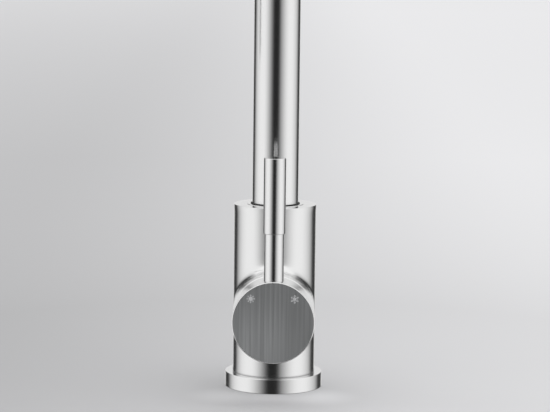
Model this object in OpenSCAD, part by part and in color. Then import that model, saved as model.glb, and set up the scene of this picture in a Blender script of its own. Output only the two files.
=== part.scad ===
// Pull-out kitchen mixer tap with a side lever, a swivelling arched spout and a spray head on a hose.
// The worktop's face is z = 0. The spout reaches along -Y, and the lever's branch points along +X.

/* [Base and body] */
// Diameter of the round foot
flange_d = 59.2; // [56:0.2:66]
// Height of the foot above the worktop
flange_h = 9; // [7:0.5:14]
// Diameter of the upright body
body_d = 50; // [49.4:0.2:52]
// Height of the body above the foot
body_h = 102.8; // [99:0.2:120]
// Wall of the body
body_wall = 3.5; // [2.5:0.1:4]
// Diameter of the side branch
branch_d = 48.6; // [47.6:0.2:49.2]
// Height of the branch's axis above the worktop
branch_z = 50; // [47:0.5:52]
// Reach of the branch's end from the body's axis
branch_reach = 42; // [41.6:0.2:46]
// Wall of the branch
branch_wall = 3.3; // [2.8:0.1:3.6]
// Break of the sharp outer edges
edge_break = 0.5; // [0.2:0.1:0.8]

/* [Spout] */
// Diameter of the spout tube
tube_d = 28; // [26.6:0.2:29]
// Wall of the spout tube
tube_wall = 1.2; // [0.8:0.1:1.5]
// Height at which the upright stops and the arch begins
arch_start_z = 304; // [240:1:360]
// Radius of the arch on the tube's axis
arch_r = 107; // [80:1:130]
// Straight leg below the arch, down to the mouth
leg_drop = 20; // [19:0.5:30]
// Thickness of the thin collar ring round the tube's foot
collar_w = 1.5; // [1:0.1:2]
// Height of the collar ring above the body
collar_proud = 0.2; // [0.1:0.1:1]
// Thickness of the rubber wiper between the collar ring and the tube
wiper_w = 1.4; // [1:0.1:1.6]

/* [Spray head] */
// Diameter of the spray head
head_d = 32.4; // [32:0.2:36]
// Length of the spray head's casing
head_len = 94; // [92:1:110]
// Wall of the casing
head_wall = 1.2; // [0.8:0.1:1.4]
// Length of the taper at the top of the casing
head_taper = 12; // [8:1:14]
// Nozzles in the inner ring
inner_nozzles = 16; // [12:1:18]
// Nozzles in the outer ring
outer_nozzles = 20; // [16:1:24]
// Diameter of one nozzle
nozzle_d = 1.8; // [1.4:0.1:2]
// Diameter of the aerator
aerator_d = 15.6; // [15:0.2:16]
// Width of the mode button
button_w = 11; // [10.6:0.2:12]
// Height of the mode button
button_h = 22; // [18:0.5:24]
// Travel of the mode button
button_travel = 2; // [1:0.1:2.2]

/* [Lever] */
// Diameter of the round hub
hub_d = 48.4; // [47:0.2:49]
// Length of the round hub
hub_len = 22.2; // [21.8:0.2:28]
// Distance of the lever's axis behind the hub's face
lever_set_back = 9; // [8:0.2:9.4]
// Length of the lever from the hub's axis to its tip
lever_len = 96; // [85:1:120]
// Length of the thicker grip at the lever's end
grip_len = 44.5; // [34:0.5:50]
// Diameter of the grip
grip_d = 13; // [12:0.2:14]
// Diameter of the lever's neck
neck_d = 11.5; // [10:0.1:11.8]
// How far the lever lifts from shut to full flow, in degrees
lift_angle = 20; // [12:1:21]

/* [Cartridge] */
// Diameter of the cartridge
cartridge_d = 35; // [34:0.2:35.4]
// Distance of the cartridge's seat from the body's axis
seat_x = 9; // [8.6:0.1:9.4]
// Distance of the stem's pivot from the body's axis
pivot_x = 30; // [29.5:0.1:30.6]
// Diameter of the pivot pin
pivot_pin_d = 3; // [2:0.1:3.4]
// Width of the square end of the stem
stem_sq = 8; // [6:0.2:8.4]

/* [Hose and water ways] */
// Outer diameter of the pull-out hose
hose_d = 12; // [10:0.2:12.2]
// Bore of the pull-out hose
hose_bore = 7; // [6:0.2:8]
// Offset of the hose from the body's axis where it passes the cartridge
hose_offset = 7.5; // [7:0.1:8]
// Radius of the hose's two easy bends inside the body
hose_bend_r = 48; // [44:1:54]
// Bore of the inlets and of the outlet to the hose, drilled for an M10 fine thread
port_d = 9; // [8:0.1:9.2]
// Depth of each threaded port
port_depth = 10; // [8:0.5:11]

/* [Under the worktop] */
// Outer diameter of the threaded shank
shank_d = 33; // [32:0.2:34]
// Bore of the shank, which the hoses pass
shank_bore = 29; // [28.4:0.2:30]
// Length of the shank below the worktop's face
shank_len = 60; // [50:1:90]
// Thickness of the worktop that the tap is shown clamped to
worktop_t = 30; // [15:1:40]
// Diameter across the corners of the mounting nut
nut_d = 58; // [57:0.5:62]
// Number of jack screws in the nut
jack_count = 3; // [2:1:4]

/* [Fits] */
// Radial gap of parts that run on each other
run_gap = 0.05; // [0.02:0.01:0.08]
// Gap between parts that only pass each other
free_gap = 0.3; // [0.2:0.05:0.4]
// Gap between the lever's hub and the parts behind it
hub_gap = 0.5; // [0.4:0.05:0.7]
// Gap between the spray head and the spout's mouth
dock_gap = 0.4; // [0.3:0.05:0.6]

/* [Hidden] */
$fn = 96;

steel = [0.80, 0.80, 0.79];
dark_steel = [0.45, 0.46, 0.46];
brass = [0.78, 0.64, 0.34];
rubber = [0.08, 0.08, 0.08];
plastic = [0.22, 0.23, 0.24];
white_plastic = [0.90, 0.90, 0.88];
ceramic = [0.95, 0.94, 0.90];
braid = [0.55, 0.56, 0.58];

// One overrun serves every cut
cut = 1;

// Base and body
seal_proud = 0.4;
seal_h = 1.4;
seal_w = 6;
seal_inset = 1.6;
body_r = body_d / 2;
bore_r = body_r - body_wall;
body_top = flange_h + body_h;
lip_h = 4;
spigot_h = 5;
block_z = flange_h + spigot_h;
branch_r = branch_d / 2;
block_top = branch_z + branch_r - free_gap;
chamber_r = branch_r - branch_wall;

// Spout and the swivel in the body's top
tube_r = tube_d / 2;
tube_bore_r = tube_r - tube_wall;
leg_y = -2 * arch_r;
mouth_z = arch_start_z - leg_drop;
wiper_r = tube_r + free_gap;
collar_r = wiper_r + wiper_w;
lip_r = collar_r + collar_w;
collar_h = 3.5;
wiper_rise = 0.5;
glide_w = 2.1;
socket_r = tube_r + run_gap + glide_w;
sleeve_w = 2.2;
sleeve_r = tube_bore_r - sleeve_w;

// Heights in the swivel are shares of the room between the valve block and the body's lip
swivel_h = body_top - lip_h - block_top;
sleeve_foot_share = 0.06;
socket_foot_share = 0.18;
tube_foot_share = 0.3;
glide_foot_share = 0.35;
glide_top_share = 0.97;
glide_share = 0.15;
sleeve_share = 0.85;
sleeve_z = block_top + sleeve_foot_share * swivel_h;
sleeve_len = sleeve_share * swivel_h;
socket_z = block_top + socket_foot_share * swivel_h;
tube_foot_z = block_top + tube_foot_share * swivel_h;
glide_h = glide_share * swivel_h;
glide_low_z = block_top + glide_foot_share * swivel_h;
glide_high_z = block_top + glide_top_share * swivel_h - glide_h;
clip_h = 1.5;
clip_top = socket_z - free_gap;
clip_depth = 1;
clip_w = 4.8;
clip_open = 50;
seal_ring_r = 1.02;
mouth_wall = 1.2;
mouth_r = tube_bore_r - mouth_wall;
magnet_h = 4;
insert_h = 15;

// Cartridge, from its seat outwards
cart_r = cartridge_d / 2;
cup_len = 24;
cup_wall_end = seat_x + cup_len;
nut_depth = 18;
nut_seat_x = seat_x + nut_depth;
nut_len = 5.8;
cup_r = chamber_r;
cartridge_fit = 0.1;
cup_bore_r = cart_r + cartridge_fit;
nut_thread_w = 2;
nut_thread_r = cup_r - nut_thread_w;
base_x = seat_x + free_gap;
base_t = 3.7;
housing_x = base_x + base_t;
housing_wall = 2.9;
housing_neck_r = 13;
neck_len = 7;
fixed_t = 3.3;
disc_r = 14.3;
disc_gap = 0.2;
disc_x = housing_x + disc_gap;
moving_x = disc_x + fixed_t + run_gap;
moving_t = 2.8;
moving_r = 11;
carrier_t = 4.2;
carrier_x = moving_x + moving_t;
spindle_r = 11;
spindle_flange_r = 13.6;
spindle_flange_t = 1.4;
spindle_x = carrier_x + carrier_t + free_gap;
neck_x = nut_seat_x;
spindle_proud = 0.8;
spindle_end = neck_x + neck_len + spindle_proud;
ball_r = 2.6;
ball_arm = 7.2;
stem_r = 3.7;
slot_half_w = stem_r + free_gap;
slot_half_h = 6.5;
stem_shoulder = 2.4;
stem_sq_x = spindle_end + stem_shoulder;
port_hole_r = 2.6;
port_ring_r = 8;
port_seal_w = 1.1;
seat_port_r = 2.2;

// Bonnet, a ball shell round the stem's pivot
bonnet_t = 1.8;
bonnet_skirt = 6;
bonnet_step = 0.5;
bonnet_edge_r = chamber_r - bonnet_step;
bonnet_r = sqrt(pow(branch_reach - pivot_x, 2) + pow(bonnet_edge_r, 2));
stem_half_diag = stem_sq / sqrt(2);
// Degrees that the stem's hole leaves past the lever's full lift
lift_spare = 2;
bonnet_hole_r = bonnet_r * sin(asin(stem_half_diag / bonnet_r) + lift_angle + lift_spare);

// Hub and lever
hub_r = hub_d / 2;
hub_rim = 0.5;
hub_back_gap = 1.3;
hub_x = branch_reach + hub_back_gap;
hub_reach = hub_x + hub_len;
hub_cavity_r = bonnet_r + hub_gap;
face_t = 0.9;
lever_x = hub_reach - lever_set_back;
neck_r = neck_d / 2;
grip_r = grip_d / 2;
neck_sink = 0.3;
neck_seat = sqrt(pow(hub_r, 2) - pow(neck_r, 2)) - neck_sink;
stud_r = 4;
stud_len = 9.4;
grip_z = lever_len - grip_len;
grip_stud = 22;
grip_break = 0.5;
socket_depth = 3.2;
stem_end = hub_reach - face_t - socket_depth;
screw_set_back = 2.6;
screw_x = stem_end - screw_set_back;
screw_r = 2.2;
screw_len = 7;
plug_r = 3.4;
plug_t = 2.2;

// Hose route
hose_r = hose_d / 2;
hose_in_r = hose_bore / 2;
hose_step = acos(1 - hose_offset / (2 * hose_bend_r));
hose_bend_h = 2 * hose_bend_r * sin(hose_step);
hose_bend_z = branch_z;
hose_bend_top = hose_bend_z + hose_bend_h;
hose_clear = 1;
hose_channel_r = hose_r + hose_clear;
hose_tail = 24;
hose_end_z = -shank_len - hose_tail;
hose_head_rise = 9;
hose_head_z = mouth_z + hose_head_rise;
pocket_rise = 6;
ferrule_w = 1.35;
ferrule_len = 18;
barb_len = 12;
splice_skin = 0.4;
tail_collar_r = 6.5;
tail_collar_h = 4;
tail_pin_r = 5;
tail_pin_len = 12;
fitting_bore_r = 3;

// Ports in the valve block, all inside the shank's bore
inlet_x = 3.5;
inlet_y = 8.3;
outlet_x = 9.3;
port_r = port_d / 2;
way_r = 2.5;
seat_port_dz = 6;
way_skin = 1.6;
outlet_way_z = block_z + port_depth + way_skin;

// Under the worktop
shank_r = shank_d / 2;
shank_bore_r = shank_bore / 2;
washer_gap = 0.5;
rubber_t = 3;
steel_t = 2;
washer_d = 54;
nut_h = 9;
nut_drop = 3;
jack_r = 2.5;
jack_ring_r = 21.5;
jack_len = 21;
jack_slot_w = 1;
jack_slot_h = 1.2;

// Spray head, measured from its top face
head_r = head_d / 2;
head_top = mouth_z - dock_gap;
head_bottom = head_top - head_len;
head_in_r = head_r - head_wall;
taper_lip = 0.2;
taper_top_r = tube_r + taper_lip;
cap_t = 2;
neck_fit = 0.35;
neck_out_r = mouth_r - neck_fit;
neck_wall = 1.55;
neck_in_r = neck_out_r - neck_wall;
catch_w = 1.75;
catch_r = neck_out_r + catch_w;
neck_rise = 12.4;
neck_top = head_top + neck_rise;
neck_floor_rise = 2.4;
neck_floor = head_top + neck_floor_rise;
nut_top_lip = 2.8;
nut_wall = 0.5;
nut_lip_gap = 0.4;
nut_lip_r = hose_r + ferrule_w + run_gap + nut_lip_gap;
fit_collar_r = neck_in_r - nut_wall - nut_lip_gap;
fit_collar_h = 3.4;
fit_collar_top = neck_top - nut_top_lip - free_gap;
spigot_r = 5.5;
spigot_drop = 6.6;
spigot_end = head_top - spigot_drop;
fitting_seal_drop = 2.6;
fitting_seal_z = head_top - fitting_seal_drop;
fitting_seal_r = 0.9;
inlet_r = spigot_r + run_gap;
cage_drop = 9.6;
cage_top = head_top - cage_drop;
cage_len = 12;
cage_floor = 1.5;
cage_seat_t = 1.5;
cage_r = 4.6;
cage_seat_r = 3;
poppet_r = 4.2;
poppet_t = 1.5;
poppet_stem_r = 1.2;
cage_hole_r = 0.9;
cage_hole_ring = 3.1;
core_fit = 0.1;
core_r = head_in_r - core_fit;
core_rise = 6.4;
core_end = head_bottom + core_rise;
core_way_r = 3;
aerator_sleeve = 1.4;
chamber_in_r = aerator_d / 2 + aerator_sleeve;
core_skin = 1.2;
chamber_out_r = core_r - core_skin;
chamber_h = 10;
core_step = 0.4;
plate_recess = 0.4;
plate_t = 4;
plate_z = head_bottom + plate_recess;
mat_t = 1.5;
mat_gap = 0.05;
nozzle_r = nozzle_d / 2;
nozzle_proud = 1;
inner_ring_step = 2.5;
inner_ring_r = aerator_d / 2 + inner_ring_step;
outer_ring_step = 2.3;
outer_ring_r = head_in_r - outer_ring_step;
aerator_r = aerator_d / 2;
aerator_wall = 1;
aerator_len = 15;
aerator_recess = 0.5;
screen_t = 2;
screen_pitch = 2.2;
screen_hole = 1.5;

// Mode button and the spool behind it
button_share = 0.54;
button_z = head_bottom + button_share * head_len;
button_proud = 0.6;
button_back = 13.2;
button_clear = 0.6;
button_pocket = button_back - button_travel - button_clear;
spring_pocket = 6.4;
spring_pocket_r = 5.6;
spool_r = 3.85;
spool_fit = 0.15;
spool_bore_r = spool_r + spool_fit;
spool_waist_r = 2.6;
spool_end = 7.4;
spool_bore_end = 10;
spool_seal_r = 0.68;
spool_land_shares = [-0.68, 0.08, 0.81];
land_half = 1.4;
groove_half = 0.72;
spring_wire = 0.5;
spring_turns = 5;
spring_r = 4.85;
check_spring_r = 2.6;
check_spring_wire = 0.35;
way_drop_y = 5;

// Ring with its foot at the given height
module ring(outer, inner, height, z = 0) {
    translate([0, 0, z]) difference() {
        cylinder(r = outer, h = height);
        translate([0, 0, -cut]) cylinder(r = inner, h = height + 2 * cut);
    }
}

// Upright post with both edges broken
module broken_post(radius, height, edge) {
    rotate_extrude() polygon([
        [0, 0], [radius - edge, 0], [radius, edge], [radius, height - edge],
        [radius - edge, height], [0, height]
    ]);
}

// Rubber ring of round section
module seal_ring(radius, section, z) {
    translate([0, 0, z]) rotate_extrude() translate([radius, 0]) circle(r = section, $fn = 24);
}

// Turns upright work so that it points along +X at the branch's height
module on_branch(x = 0) {
    translate([x, 0, branch_z]) rotate([0, 90, 0]) children();
}

// Places work on the axis of the leg and the spray head
module on_leg(z = 0) {
    translate([0, leg_y, z]) children();
}

// Closed wire spring that climbs along +Z
function turn_point(radius, wire, rise, turns, step, side, steps, sides) =
    let (
        angle = 360 * turns * step / steps,
        around = 360 * side / sides,
        out = radius + wire / 2 * cos(around)
    )
    [out * cos(angle), out * sin(angle), rise * step / steps + wire / 2 * sin(around)];

module coil_spring(radius, wire, rise, turns) {
    sides = 6;
    steps = 12 * turns;
    points = [
        for (step = [0 : steps], side = [0 : sides - 1])
            turn_point(radius, wire, rise, turns, step, side, steps, sides)
    ];
    walls = [
        for (step = [0 : steps - 1], side = [0 : sides - 1])
            let (a = step * sides + side, b = step * sides + (side + 1) % sides)
            each [[a, b, b + sides], [a, b + sides, a + sides]]
    ];
    first = [for (side = [0 : sides - 1]) sides - 1 - side];
    last = [for (side = [0 : sides - 1]) steps * sides + side];
    polyhedron(points = points, faces = concat(walls, [first, last]), convexity = 4);
}

// One bend of a tube in the plane of its two ends, as a part of a ring
module bend(radius, outer, inner, start, sweep) {
    rotate([0, 0, start]) rotate_extrude(angle = sweep) translate([radius, 0]) difference() {
        circle(r = outer);
        circle(r = inner);
    }
}

// Arch of the spout from the upright over to the leg
module arch(outer, inner) {
    translate([0, -arch_r, arch_start_z]) rotate([90, 0, 90]) bend(arch_r, outer, inner, 0, 180);
}

module base_flange() {
    color(steel) difference() {
        union() {
            translate([0, 0, seal_proud])
                broken_post(flange_d / 2, flange_h - seal_proud, edge_break);
            translate([0, 0, flange_h - edge_break]) cylinder(r = bore_r, h = spigot_h + edge_break);
        }
        translate([0, 0, -cut]) cylinder(r = shank_r, h = block_z + 2 * cut);
        seal_out_r = flange_d / 2 - seal_inset;
        translate([0, 0, -cut]) ring(seal_out_r, seal_out_r - seal_w, seal_h + cut);
    }
}

module base_seal() {
    seal_out_r = flange_d / 2 - seal_inset;
    color(rubber) ring(seal_out_r, seal_out_r - seal_w, seal_h);
}

module body_shell() {
    color(steel) difference() {
        union() {
            translate([0, 0, flange_h]) broken_post(body_r, body_h, edge_break);
            on_branch() broken_post(branch_r, branch_reach, edge_break);
        }
        translate([0, 0, flange_h - cut]) cylinder(r = bore_r, h = body_h - lip_h + cut);
        translate([0, 0, flange_h]) cylinder(r = lip_r, h = body_h + cut);
        on_branch() cylinder(r = chamber_r, h = branch_reach + cut);
    }
}

module collar_ring() {
    z = body_top + collar_proud - collar_h;
    color(steel) translate([0, 0, z]) rotate_extrude() polygon([
        [collar_r, 0], [lip_r, 0], [lip_r, collar_h - collar_proud / 2],
        [lip_r - collar_proud / 2, collar_h], [collar_r, collar_h]
    ]);
}

module wiper_seal() {
    top = body_top + collar_proud + wiper_rise;
    color(rubber) ring(collar_r, wiper_r, collar_h, top - collar_h);
}

module spout_socket() {
    top = body_top - lip_h;
    color(brass) ring(bore_r, socket_r, top - socket_z, socket_z);
}

// Solid part of the valve block before its bores
module block_blank() {
    difference() {
        translate([0, 0, block_z]) cylinder(r = bore_r, h = block_top - block_z);
        translate([seat_x, -body_r, branch_z])
            cube([body_r, body_d, block_top - branch_z + cut]);
        on_branch(seat_x) cylinder(r = chamber_r, h = body_r);
    }
    on_branch(seat_x - cut) cylinder(r = cup_r, h = cup_wall_end - seat_x + cut);
}

// Water ways from the three ports up to the cartridge's seat
module block_ways() {
    for (side = [-1, 1]) translate([inlet_x, side * inlet_y, block_z - cut]) {
        cylinder(r = port_r, h = port_depth + cut);
        cylinder(r = way_r, h = branch_z + seat_port_dz / 2 - block_z + cut);
    }
    for (side = [-1, 1]) translate([inlet_x, side * inlet_y, branch_z + seat_port_dz / 2])
        rotate([0, 90, 0]) cylinder(r = seat_port_r, h = seat_x - inlet_x + cut);
    translate([outlet_x, 0, block_z - cut]) cylinder(r = port_r, h = port_depth + cut);
    translate([outlet_x, 0, block_z]) cylinder(r = way_r, h = outlet_way_z - block_z);
    translate([inlet_x, 0, outlet_way_z]) rotate([0, 90, 0])
        cylinder(r = seat_port_r, h = outlet_x - inlet_x);
    translate([inlet_x, 0, outlet_way_z]) cylinder(r = way_r, h = branch_z - port_ring_r - outlet_way_z);
    translate([inlet_x, 0, branch_z - port_ring_r]) rotate([0, 90, 0])
        cylinder(r = seat_port_r, h = seat_x - inlet_x + cut);
}

module valve_block() {
    pocket_z = hose_bend_z + pocket_rise;
    color(brass) difference() {
        block_blank();
        on_branch(seat_x) cylinder(r = cup_bore_r, h = branch_reach);
        on_branch(nut_seat_x) cylinder(r = nut_thread_r, h = branch_reach);
        translate([-hose_offset, 0, block_z - cut])
            cylinder(r = hose_channel_r, h = pocket_z - block_z + 2 * cut);
        translate([-hose_offset - hose_channel_r, -hose_channel_r, pocket_z])
            cube([hose_offset + hose_channel_r + hose_r - free_gap, 2 * hose_channel_r, block_top]);
        block_ways();
    }
}

module threaded_shank() {
    color(brass) ring(shank_r, shank_bore_r, block_z + shank_len, -shank_len);
}

module rubber_washer() {
    color(rubber) ring(washer_d / 2 - washer_gap, shank_r + washer_gap, rubber_t, -worktop_t - rubber_t);
}

module steel_washer() {
    z = -worktop_t - rubber_t - steel_t;
    color(steel) ring(washer_d / 2, shank_r + washer_gap, steel_t, z);
}

module mounting_nut() {
    z = -worktop_t - rubber_t - steel_t - nut_drop - nut_h;
    color(brass) translate([0, 0, z]) difference() {
        cylinder(r = nut_d / 2, h = nut_h, $fn = 6);
        translate([0, 0, -cut]) cylinder(r = shank_r, h = nut_h + 2 * cut);
        for (i = [0 : jack_count - 1]) rotate([0, 0, 360 * i / jack_count])
            translate([jack_ring_r, 0, -cut]) cylinder(r = jack_r, h = nut_h + 2 * cut);
    }
}

module jack_screws() {
    z = -worktop_t - rubber_t - steel_t - jack_len;
    color(steel) for (i = [0 : jack_count - 1]) rotate([0, 0, 360 * i / jack_count])
        translate([jack_ring_r, 0, z]) difference() {
            cylinder(r = jack_r, h = jack_len);
            translate([-jack_r, -jack_slot_w / 2, -cut])
                cube([2 * jack_r, jack_slot_w, jack_slot_h + cut]);
        }
}

// The three ports of the cartridge: two inlets above, one outlet below, seen along the branch
module at_cartridge_ports() {
    for (side = [-1, 1]) translate([-seat_port_dz / 2, side * inlet_y, 0]) children();
    translate([port_ring_r, 0, 0]) children();
}

module cartridge_base() {
    color(white_plastic) on_branch(base_x) difference() {
        cylinder(r = cart_r, h = base_t);
        translate([0, 0, -cut]) at_cartridge_ports() cylinder(r = port_hole_r, h = base_t + 2 * cut);
        translate([0, 0, -cut]) at_cartridge_ports()
            cylinder(r = port_hole_r + port_seal_w, h = base_t / 2 + cut);
    }
}

module cartridge_seals() {
    color(rubber) on_branch(seat_x) at_cartridge_ports()
        ring(port_hole_r + port_seal_w, port_hole_r, base_t / 2 + free_gap);
}

module cartridge_housing() {
    bore_len = spindle_x + spindle_flange_t + run_gap - housing_x;
    color(white_plastic) on_branch(housing_x) difference() {
        union() {
            cylinder(r = cart_r, h = nut_seat_x - housing_x);
            cylinder(r = housing_neck_r, h = nut_seat_x - housing_x + neck_len);
        }
        translate([0, 0, -cut]) cylinder(r = cart_r - housing_wall, h = bore_len + cut);
        cylinder(r = spindle_r + run_gap, h = branch_reach);
    }
}

module fixed_ceramic_disc() {
    color(ceramic) on_branch(disc_x) difference() {
        cylinder(r = disc_r, h = fixed_t);
        translate([0, 0, -cut]) at_cartridge_ports() cylinder(r = port_hole_r, h = fixed_t + 2 * cut);
    }
}

module moving_ceramic_disc() {
    color(ceramic) on_branch(moving_x) difference() {
        cylinder(r = moving_r, h = moving_t);
        translate([0, 0, -cut]) cylinder(r = moving_r / 2, h = moving_t / 2 + cut);
    }
}

module disc_carrier() {
    color(plastic) on_branch(carrier_x) difference() {
        cylinder(r = moving_r, h = carrier_t);
        socket_x = pivot_x - ball_arm - ball_r - free_gap - carrier_x;
        translate([0, 0, socket_x]) cylinder(r = ball_r + free_gap, h = branch_reach);
    }
}

module retaining_nut() {
    color(brass) on_branch(nut_seat_x) ring(nut_thread_r, housing_neck_r + free_gap, nut_len);
}

module bonnet() {
    color(steel) {
        on_branch(branch_reach - bonnet_skirt)
            ring(chamber_r, bonnet_edge_r - bonnet_t, bonnet_skirt);
        difference() {
            on_branch(pivot_x) sphere(r = bonnet_r);
            on_branch(pivot_x) sphere(r = bonnet_r - bonnet_t);
            on_branch(pivot_x - 2 * bonnet_r)
                cylinder(r = 2 * bonnet_r, h = branch_reach - pivot_x + 2 * bonnet_r);
            on_branch(pivot_x) cylinder(r = bonnet_hole_r, h = 2 * bonnet_r);
        }
    }
}

module spindle_collar() {
    color(plastic) on_branch(spindle_x) difference() {
        union() {
            cylinder(r = spindle_flange_r, h = spindle_flange_t);
            cylinder(r = spindle_r, h = spindle_end - spindle_x);
        }
        translate([-slot_half_h, -slot_half_w, -cut])
            cube([2 * slot_half_h, 2 * slot_half_w, spindle_end - spindle_x + 2 * cut]);
        translate([0, 0, pivot_x - spindle_x]) rotate([90, 0, 0])
            cylinder(r = pivot_pin_d / 2, h = 2 * spindle_r + 2 * cut, center = true);
    }
}

module pivot_pin() {
    color(steel) translate([pivot_x, 0, branch_z]) rotate([90, 0, 0])
        cylinder(r = pivot_pin_d / 2, h = 2 * spindle_r - 2 * free_gap, center = true);
}

module stem() {
    color(steel) difference() {
        union() {
            on_branch(pivot_x - ball_arm) sphere(r = ball_r);
            on_branch(pivot_x - ball_arm) cylinder(r = ball_r - free_gap, h = ball_arm);
            on_branch(pivot_x - ball_arm + ball_r)
                cylinder(r = stem_r, h = stem_sq_x - pivot_x + ball_arm - ball_r);
            translate([stem_sq_x, -stem_sq / 2, branch_z - stem_sq / 2])
                cube([stem_end - stem_sq_x, stem_sq, stem_sq]);
        }
        translate([pivot_x, 0, branch_z]) rotate([90, 0, 0])
            cylinder(r = pivot_pin_d / 2 + run_gap, h = 2 * stem_sq, center = true);
    }
}

module handle_hub() {
    color(steel) difference() {
        on_branch(hub_x) union() {
            cylinder(r = hub_r, h = hub_reach - hub_x - hub_rim);
            translate([0, 0, hub_reach - hub_x - hub_rim])
                cylinder(r1 = hub_r, r2 = hub_r - hub_rim, h = hub_rim);
        }
        on_branch(pivot_x) sphere(r = hub_cavity_r);
        translate([hub_x, 0, branch_z]) rotate([0, -lift_angle, 0])
            translate([-2 * hub_r, -2 * hub_r, -4 * hub_r]) cube([2 * hub_r, 4 * hub_r, 4 * hub_r]);
        on_branch(hub_reach - face_t) cylinder(r = hub_r - hub_rim, h = face_t + cut);
        translate([pivot_x, -stem_sq / 2, branch_z - stem_sq / 2])
            cube([stem_end - pivot_x, stem_sq, stem_sq]);
        translate([lever_x, 0, branch_z + neck_seat]) cylinder(r = neck_r, h = hub_r);
        translate([lever_x, 0, branch_z + neck_seat - stud_len]) cylinder(r = stud_r, h = hub_r);
        translate([screw_x, 0, branch_z - hub_r - cut])
            cylinder(r = plug_r, h = plug_t + cut);
        translate([screw_x, 0, branch_z - hub_r]) cylinder(r = screw_r, h = hub_r);
    }
}

module hub_face() {
    color(dark_steel) on_branch(hub_reach - face_t) cylinder(r = hub_r - hub_rim, h = face_t);
}

module lever_neck() {
    color(steel) difference() {
        translate([lever_x, 0, branch_z]) {
            translate([0, 0, neck_seat]) cylinder(r = neck_r, h = grip_z - neck_seat);
            translate([0, 0, neck_seat - stud_len]) cylinder(r = stud_r, h = stud_len + cut);
            translate([0, 0, grip_z - cut]) cylinder(r = stud_r, h = grip_stud + cut);
        }
        on_branch(pivot_x) sphere(r = hub_cavity_r);
    }
}

module lever_grip() {
    color(steel) translate([lever_x, 0, branch_z + grip_z]) difference() {
        broken_post(grip_r, grip_len, grip_break);
        translate([0, 0, -cut]) cylinder(r = stud_r, h = grip_stud + free_gap + cut);
    }
}

module hub_screw() {
    top = branch_z - stem_sq / 2;
    color(dark_steel) translate([screw_x, 0, top - screw_len]) difference() {
        cylinder(r = screw_r, h = screw_len);
        translate([0, 0, -cut]) cylinder(r = screw_r / 2, h = screw_len / 3 + cut, $fn = 6);
    }
}

module screw_plug() {
    drop = sqrt(pow(hub_r, 2) - pow(plug_r, 2));
    color(plastic) translate([screw_x, 0, branch_z - drop])
        cylinder(r = plug_r, h = drop - hub_r + plug_t);
}

module lower_ferrule() {
    color(steel) translate([-hose_offset, 0, 0])
        ring(hose_r + ferrule_w, hose_r + run_gap, ferrule_len, hose_end_z);
}

module hose_tail_fitting() {
    color(brass) translate([-hose_offset, 0, hose_end_z]) difference() {
        union() {
            translate([0, 0, -tail_collar_h]) cylinder(r = tail_collar_r, h = tail_collar_h);
            translate([0, 0, -tail_collar_h - tail_pin_len])
                cylinder(r = tail_pin_r, h = tail_pin_len + cut);
            translate([0, 0, -cut]) cylinder(r = hose_in_r - run_gap, h = barb_len + cut);
        }
        translate([0, 0, -tail_collar_h - tail_pin_len - cut])
            cylinder(r = hose_in_r / 2, h = tail_collar_h + tail_pin_len + barb_len + 2 * cut);
    }
}

module spout_tube() {
    color(steel) {
        ring(tube_r, tube_bore_r, arch_start_z - tube_foot_z, tube_foot_z);
        arch(tube_r, tube_bore_r);
        on_leg() ring(tube_r, tube_bore_r, leg_drop, mouth_z);
    }
}

module spout_sleeve() {
    color(brass) difference() {
        union() {
            ring(tube_bore_r, sleeve_r, sleeve_len, sleeve_z);
            ring(tube_r, sleeve_r, tube_foot_z - socket_z - free_gap, socket_z + free_gap);
        }
        ring(tube_r, tube_bore_r - clip_depth, clip_h, clip_top - clip_h);
    }
}

// Plastic ring that the tube's foot turns on
module glide_ring(z) {
    color(white_plastic) ring(socket_r - run_gap, tube_r, glide_h, z);
}

module glide_ring_lower() {
    glide_ring(glide_low_z);
}

module glide_ring_upper() {
    glide_ring(glide_high_z);
}

module swivel_seal() {
    color(rubber) seal_ring(tube_r + seal_ring_r, seal_ring_r, (glide_low_z + glide_high_z + glide_h) / 2);
}

module retaining_clip() {
    inner = tube_bore_r - clip_depth;
    color(steel) translate([0, 0, clip_top - clip_h]) difference() {
        ring(inner + clip_w + clip_depth, inner, clip_h);
        rotate([0, 0, -clip_open / 2]) rotate_extrude(angle = clip_open)
            translate([0, -cut]) square([body_r, clip_h + 2 * cut]);
    }
}

module nose_insert() {
    color(plastic) on_leg() ring(tube_bore_r, mouth_r, insert_h, mouth_z + magnet_h);
}

module dock_magnet() {
    color(dark_steel) on_leg() ring(tube_bore_r, mouth_r, magnet_h, mouth_z);
}

// Short ring inside the hose's wall that knits two stretches of the route together
module hose_splice() {
    ring(hose_r - splice_skin, hose_in_r + splice_skin, 2 * splice_skin, -splice_skin);
}

module pull_hose() {
    color(braid) {
        translate([0, 0, arch_start_z]) hose_splice();
        translate([0, 0, hose_bend_top]) hose_splice();
        translate([-hose_offset, 0, hose_bend_z]) hose_splice();
        translate([-hose_offset / 2, 0, (hose_bend_z + hose_bend_top) / 2])
            rotate([0, hose_step, 0]) hose_splice();
        on_leg() ring(hose_r, hose_in_r, arch_start_z - hose_head_z, hose_head_z);
        arch(hose_r, hose_in_r);
        ring(hose_r, hose_in_r, arch_start_z - hose_bend_top, hose_bend_top);
        translate([-hose_bend_r, 0, hose_bend_top]) rotate([90, 0, 0])
            bend(hose_bend_r, hose_r, hose_in_r, -hose_step, hose_step);
        translate([hose_bend_r - hose_offset, 0, hose_bend_z]) rotate([90, 0, 0])
            bend(hose_bend_r, hose_r, hose_in_r, 180 - hose_step, hose_step);
        translate([-hose_offset, 0, 0]) ring(hose_r, hose_in_r, hose_bend_z - hose_end_z, hose_end_z);
    }
}

module upper_ferrule() {
    len = arch_start_z - hose_head_z - free_gap;
    color(steel) on_leg() ring(hose_r + ferrule_w, hose_r + run_gap, len, hose_head_z + free_gap / 2);
}

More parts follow.
